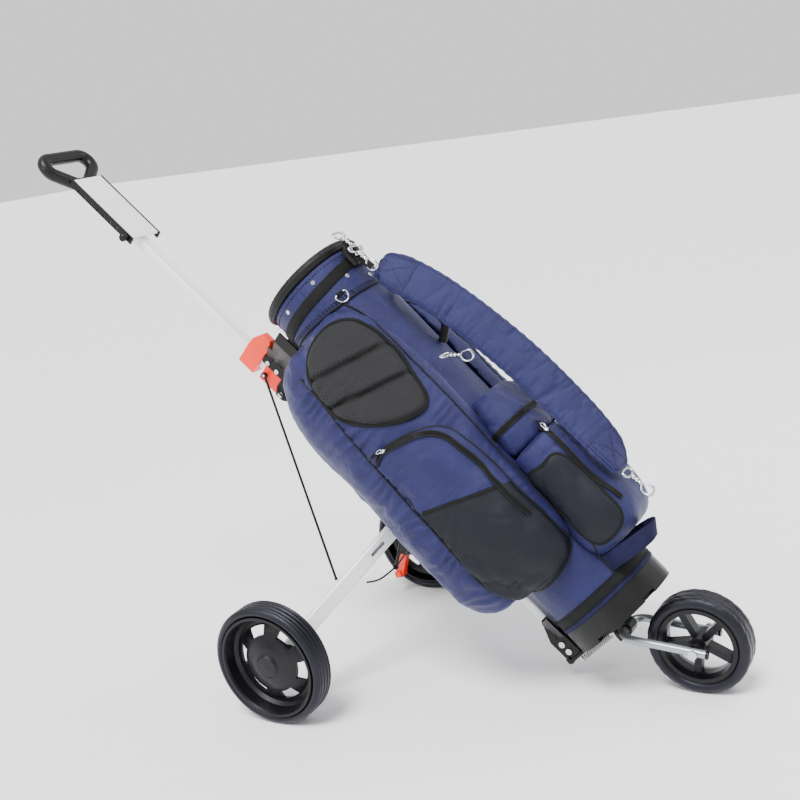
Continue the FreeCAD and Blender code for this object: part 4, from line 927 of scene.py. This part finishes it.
def build():
    m = make_materials()
    stage_set()
    looks = {
        "silver": ("spine_tube", "handle_tube", "leg_tube_left", "leg_tube_right"),
        "fork": ("fork_tube",),
        "black_metal": ("upper_cradle", "leg_bracket", "lower_bracket", "fork_hinge", "tension_rod_left",
                        "tension_rod_right", "brake_bracket"),
        "chrome": ("hinge_pins", "frame_screws", "collar_rivets", "rod_pins",
                   "front_axle", "axle_left", "axle_right"),
        "plastic": ("base_moulding", "tie_buckle", "handle_grip", "console_rails", "leg_fittings_left",
                    "leg_fittings_right", "fork_plugs", "front_bushes", "club_dividers"),
        "rubber": ("carry_handle",),
        "white": ("console_plate",),
        "orange": ("fold_casting", "lock_collar", "brake_lever"),
        "wheel": ("main_rim_left", "main_rim_right", "hub_parts_left", "hub_parts_right", "front_rim"),
        "steel": ("bag_stays",),
    }
    for kind, names in looks.items():
        for name in names:
            data = NODES[name].data
            if not data.materials:
                data.materials.append(m[kind])
            for i in range(len(data.materials)):
                data.materials[i] = m[kind]

    body = bag_body(m)
    near = puffed("pocket_near", "side_pocket_right", m["navy"])
    far_side = puffed("pocket_far", "side_pocket_left", m["navy"])
    low = puffed("front_pocket_low", "lower_front_pocket", m["navy"], cap=7)
    top = puffed("front_pocket_top", "upper_front_pocket", m["navy"], cap=6)

    first = Skin([body, near, far_side, low, top])
    seams = [first.round(smooth_line(SEAM_FRONT, 3.0))[0], first.side(smooth_line(SEAM_BACK, 3.0))[0]]
    mirrored = [s * np.array([1, -1, 1]) for s in seams]
    rings_low = [first.round([(t, 302) for t in np.arange(-50, 50, 1.5)], (70, 0))[0]]
    zip_row = [first.round([(t, 386) for t in np.arange(-58, 58, 1.5)], (70, 0))[0]]
    creased(near, seams, 21, gains=(0.5, 2.0))
    creased(far_side, mirrored, 22, gains=(0.5, 2.0))
    creased(low, rings_low, 23, fold=1.6, depth=1.5, broad=1.5)
    creased(top, zip_row, 24, fold=2.6, fold_size=40, depth=1.5)

    skin = Skin([body, near, far_side, low, top])
    for tag, sign, spin in (("near", -1, 1), ("far", 1, -1)):
        for row, size, (line, out) in (
                ("front", 2.0, skin.round([(spin * t, z) for t, z in smooth_line(SEAM_FRONT, 3.0)])),
                ("back", 1.9, skin.side(smooth_line(SEAM_BACK, 3.0), sign))):
            sweep(f"piping_{row}_{tag}", eased(line, 14) + out * 0.6, eased(out, 10), disc(size, 8), m["binding"])

    pad, edge, _ = patch("mesh_pad_soft", skin, PAD, 10.5, m["air_mesh"], gusset=16,
                         channels=(((-46, 693), (94, 640)), ((-50, 632), (94, 573))), channel=(0.86, 5.0),
                         wrinkle=0.35, seed=41, rings=60)
    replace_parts(pad, "mesh_pad")
    line, out = skin.side(edge)
    sweep("mesh_pad_binding", eased(line, 12, True), eased(out, 10, True), tape(8, 4.6, 0.6), m["black_web"],
          closed=True)

    def mesh_top(x):
        return 379 - 0.435 * (x + 58) + 4 * np.sin((x + 58) / 138 * math.pi)

    pocket, edge, _ = patch("zip_pocket_soft", skin, ZIP, 11.0, [m["navy"], m["pocket_mesh"]],
                            gusset=11, split=mesh_top, wrinkle=0.9, seed=51, rings=64)
    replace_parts(pocket, "zip_pocket")
    over = Skin([pocket])
    xs = np.linspace(-56, 84, 50)
    line, out = over.side(np.stack([xs, mesh_top(xs)], 1))
    sweep("zip_pocket_net_binding", eased(line, 3), out, tape(7, 1.2), m["black_web"])
    line, out = skin.side(edge)
    sweep("zip_pocket_piping", eased(line, 26, True) + out * 1.6, eased(out, 10, True), disc(2.2, 8), m["binding"],
          closed=True)
    top_edge = smooth_line([(-48, 493), (-27, 502), (20, 491), (58, 473), (74, 447), (80, 400), (81, 329),
                            (82, 246)], 3.0)
    line, out = over.side(top_edge)
    zipper("zip_pocket_zip", (line, out), m, 10.5)
    k = len(line) // 10
    zip_pull("zip_pocket_pull", line[k] + out[k] * 2, line[k + 3] - line[k], out[k], m)

    _, edge, _ = patch("front_net", skin, FRONT_NET, 3.0, m["pocket_mesh"], gusset=9, wrinkle=0.5,
                       seed=61, rings=34)
    line, out = skin.side(edge)
    sweep("front_net_binding", eased(line, 10, True), eased(out, 8, True), tape(6, 2.4), m["black_web"], closed=True)
    line, out = skin.round(smooth_line([(26, 345), (29, 320), (30, 270), (29, 215), (24, 160)], 3.0), (70, 0))
    zipper("front_zip", (line, out), m, 10.0)
    zip_pull("front_pull", line[4] + out[4] * 2, line[8] - line[4], out[4], m, 20)
    line, out = skin.round([(t, 386) for t in np.arange(-56, 72, 1.5)], (70, 0))
    zipper("upper_zip", (line, out), m, 11.0)

    tab = smooth_line([(136, -26, 776), (134, -30, 796), (133, -32, 812), (135, -33, 838), (138, -34, 846)], 2.0)
    side = np.cross(np.gradient(tab, axis=0), (0, 1, 0))
    sweep("strap_tab_top", tab, side, tape(24, 2.4, 0.4), m["black_web"])
    for i, at in enumerate(HOOKS):
        for part in snap_hook(f"snap_hook_{i}", *at, m):
            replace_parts(part, "snap_hooks")
    for tag, spin in (("near", 46), ("far", -46)):
        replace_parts(ring_tab(f"ring_{tag}", 771, spin, m), "bag_rings")
    collar(m)
    rim(m)
    bands(m)
    shoulder_strap(m)

    turn = np.linspace(0, 360, 260, endpoint=False)
    swing = np.minimum(turn, 360 - turn)
    line, out = ring_line(turn, 805 + 12 * np.exp(-(swing / 44) ** 2), 3.6)
    tie = sweep("tie_webbing", line, out, tape(22, 1.8), m["black_web"], closed=True)
    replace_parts(tie, "tie_strap")

    loop = smooth_line([(105, -4, 90), (128, -3, 90), (152, -7, 88), (176, -20, 86), (187, -38, 84), (182, -56, 84),
                        (160, -70, 86), (124, -76, 89), (98, -70, 91), (83, -66, 92)], 3.0)
    t = np.gradient(loop, axis=0)
    lean = np.stack([0.9 * np.clip((loop[:, 0] - 110) / 80, 0, 1), 0 * t[:, 0], np.ones(len(t))], 1)
    out = np.cross(lean, t)
    handle = sweep("lift_loop", loop, out, tape(31, 2.2), m["navy_web"])
    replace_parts(handle, "bottom_loop")

    grooves = ((-14, 1.6, 2.4), (-5, 1.6, 2.4), (5, 1.6, 2.4), (14, 1.6, 2.4))
    for side in ("left", "right"):
        tyre(f"tyre_main_{side}", f"main_tyre_{side}", f"wheel_{side}", 117.5, 101.2, 49, m, grooves)
    tyre("tyre_front", "front_tyre", "wheel_front", 92, 71.2, 56, m, ((-9, 1.2, 1.4), (9, 1.2, 1.4)),
         slant=(26, 1.3, 0.5))
    coil(m)
    cable("cable_left", "brake_cable_left", ((104, 2, 186), (98, 44, 190), (80, 92, 180), (56, 142, 158),
                                             (26, 190, 132), (-2, 226, 108), (-22, 244, 100)), m)
    cable("cable_right", "brake_cable_right", ((104, -2, 186), (98, -36, 180), (96, -70, 184), (100, -104, 198)),
          m)


build()
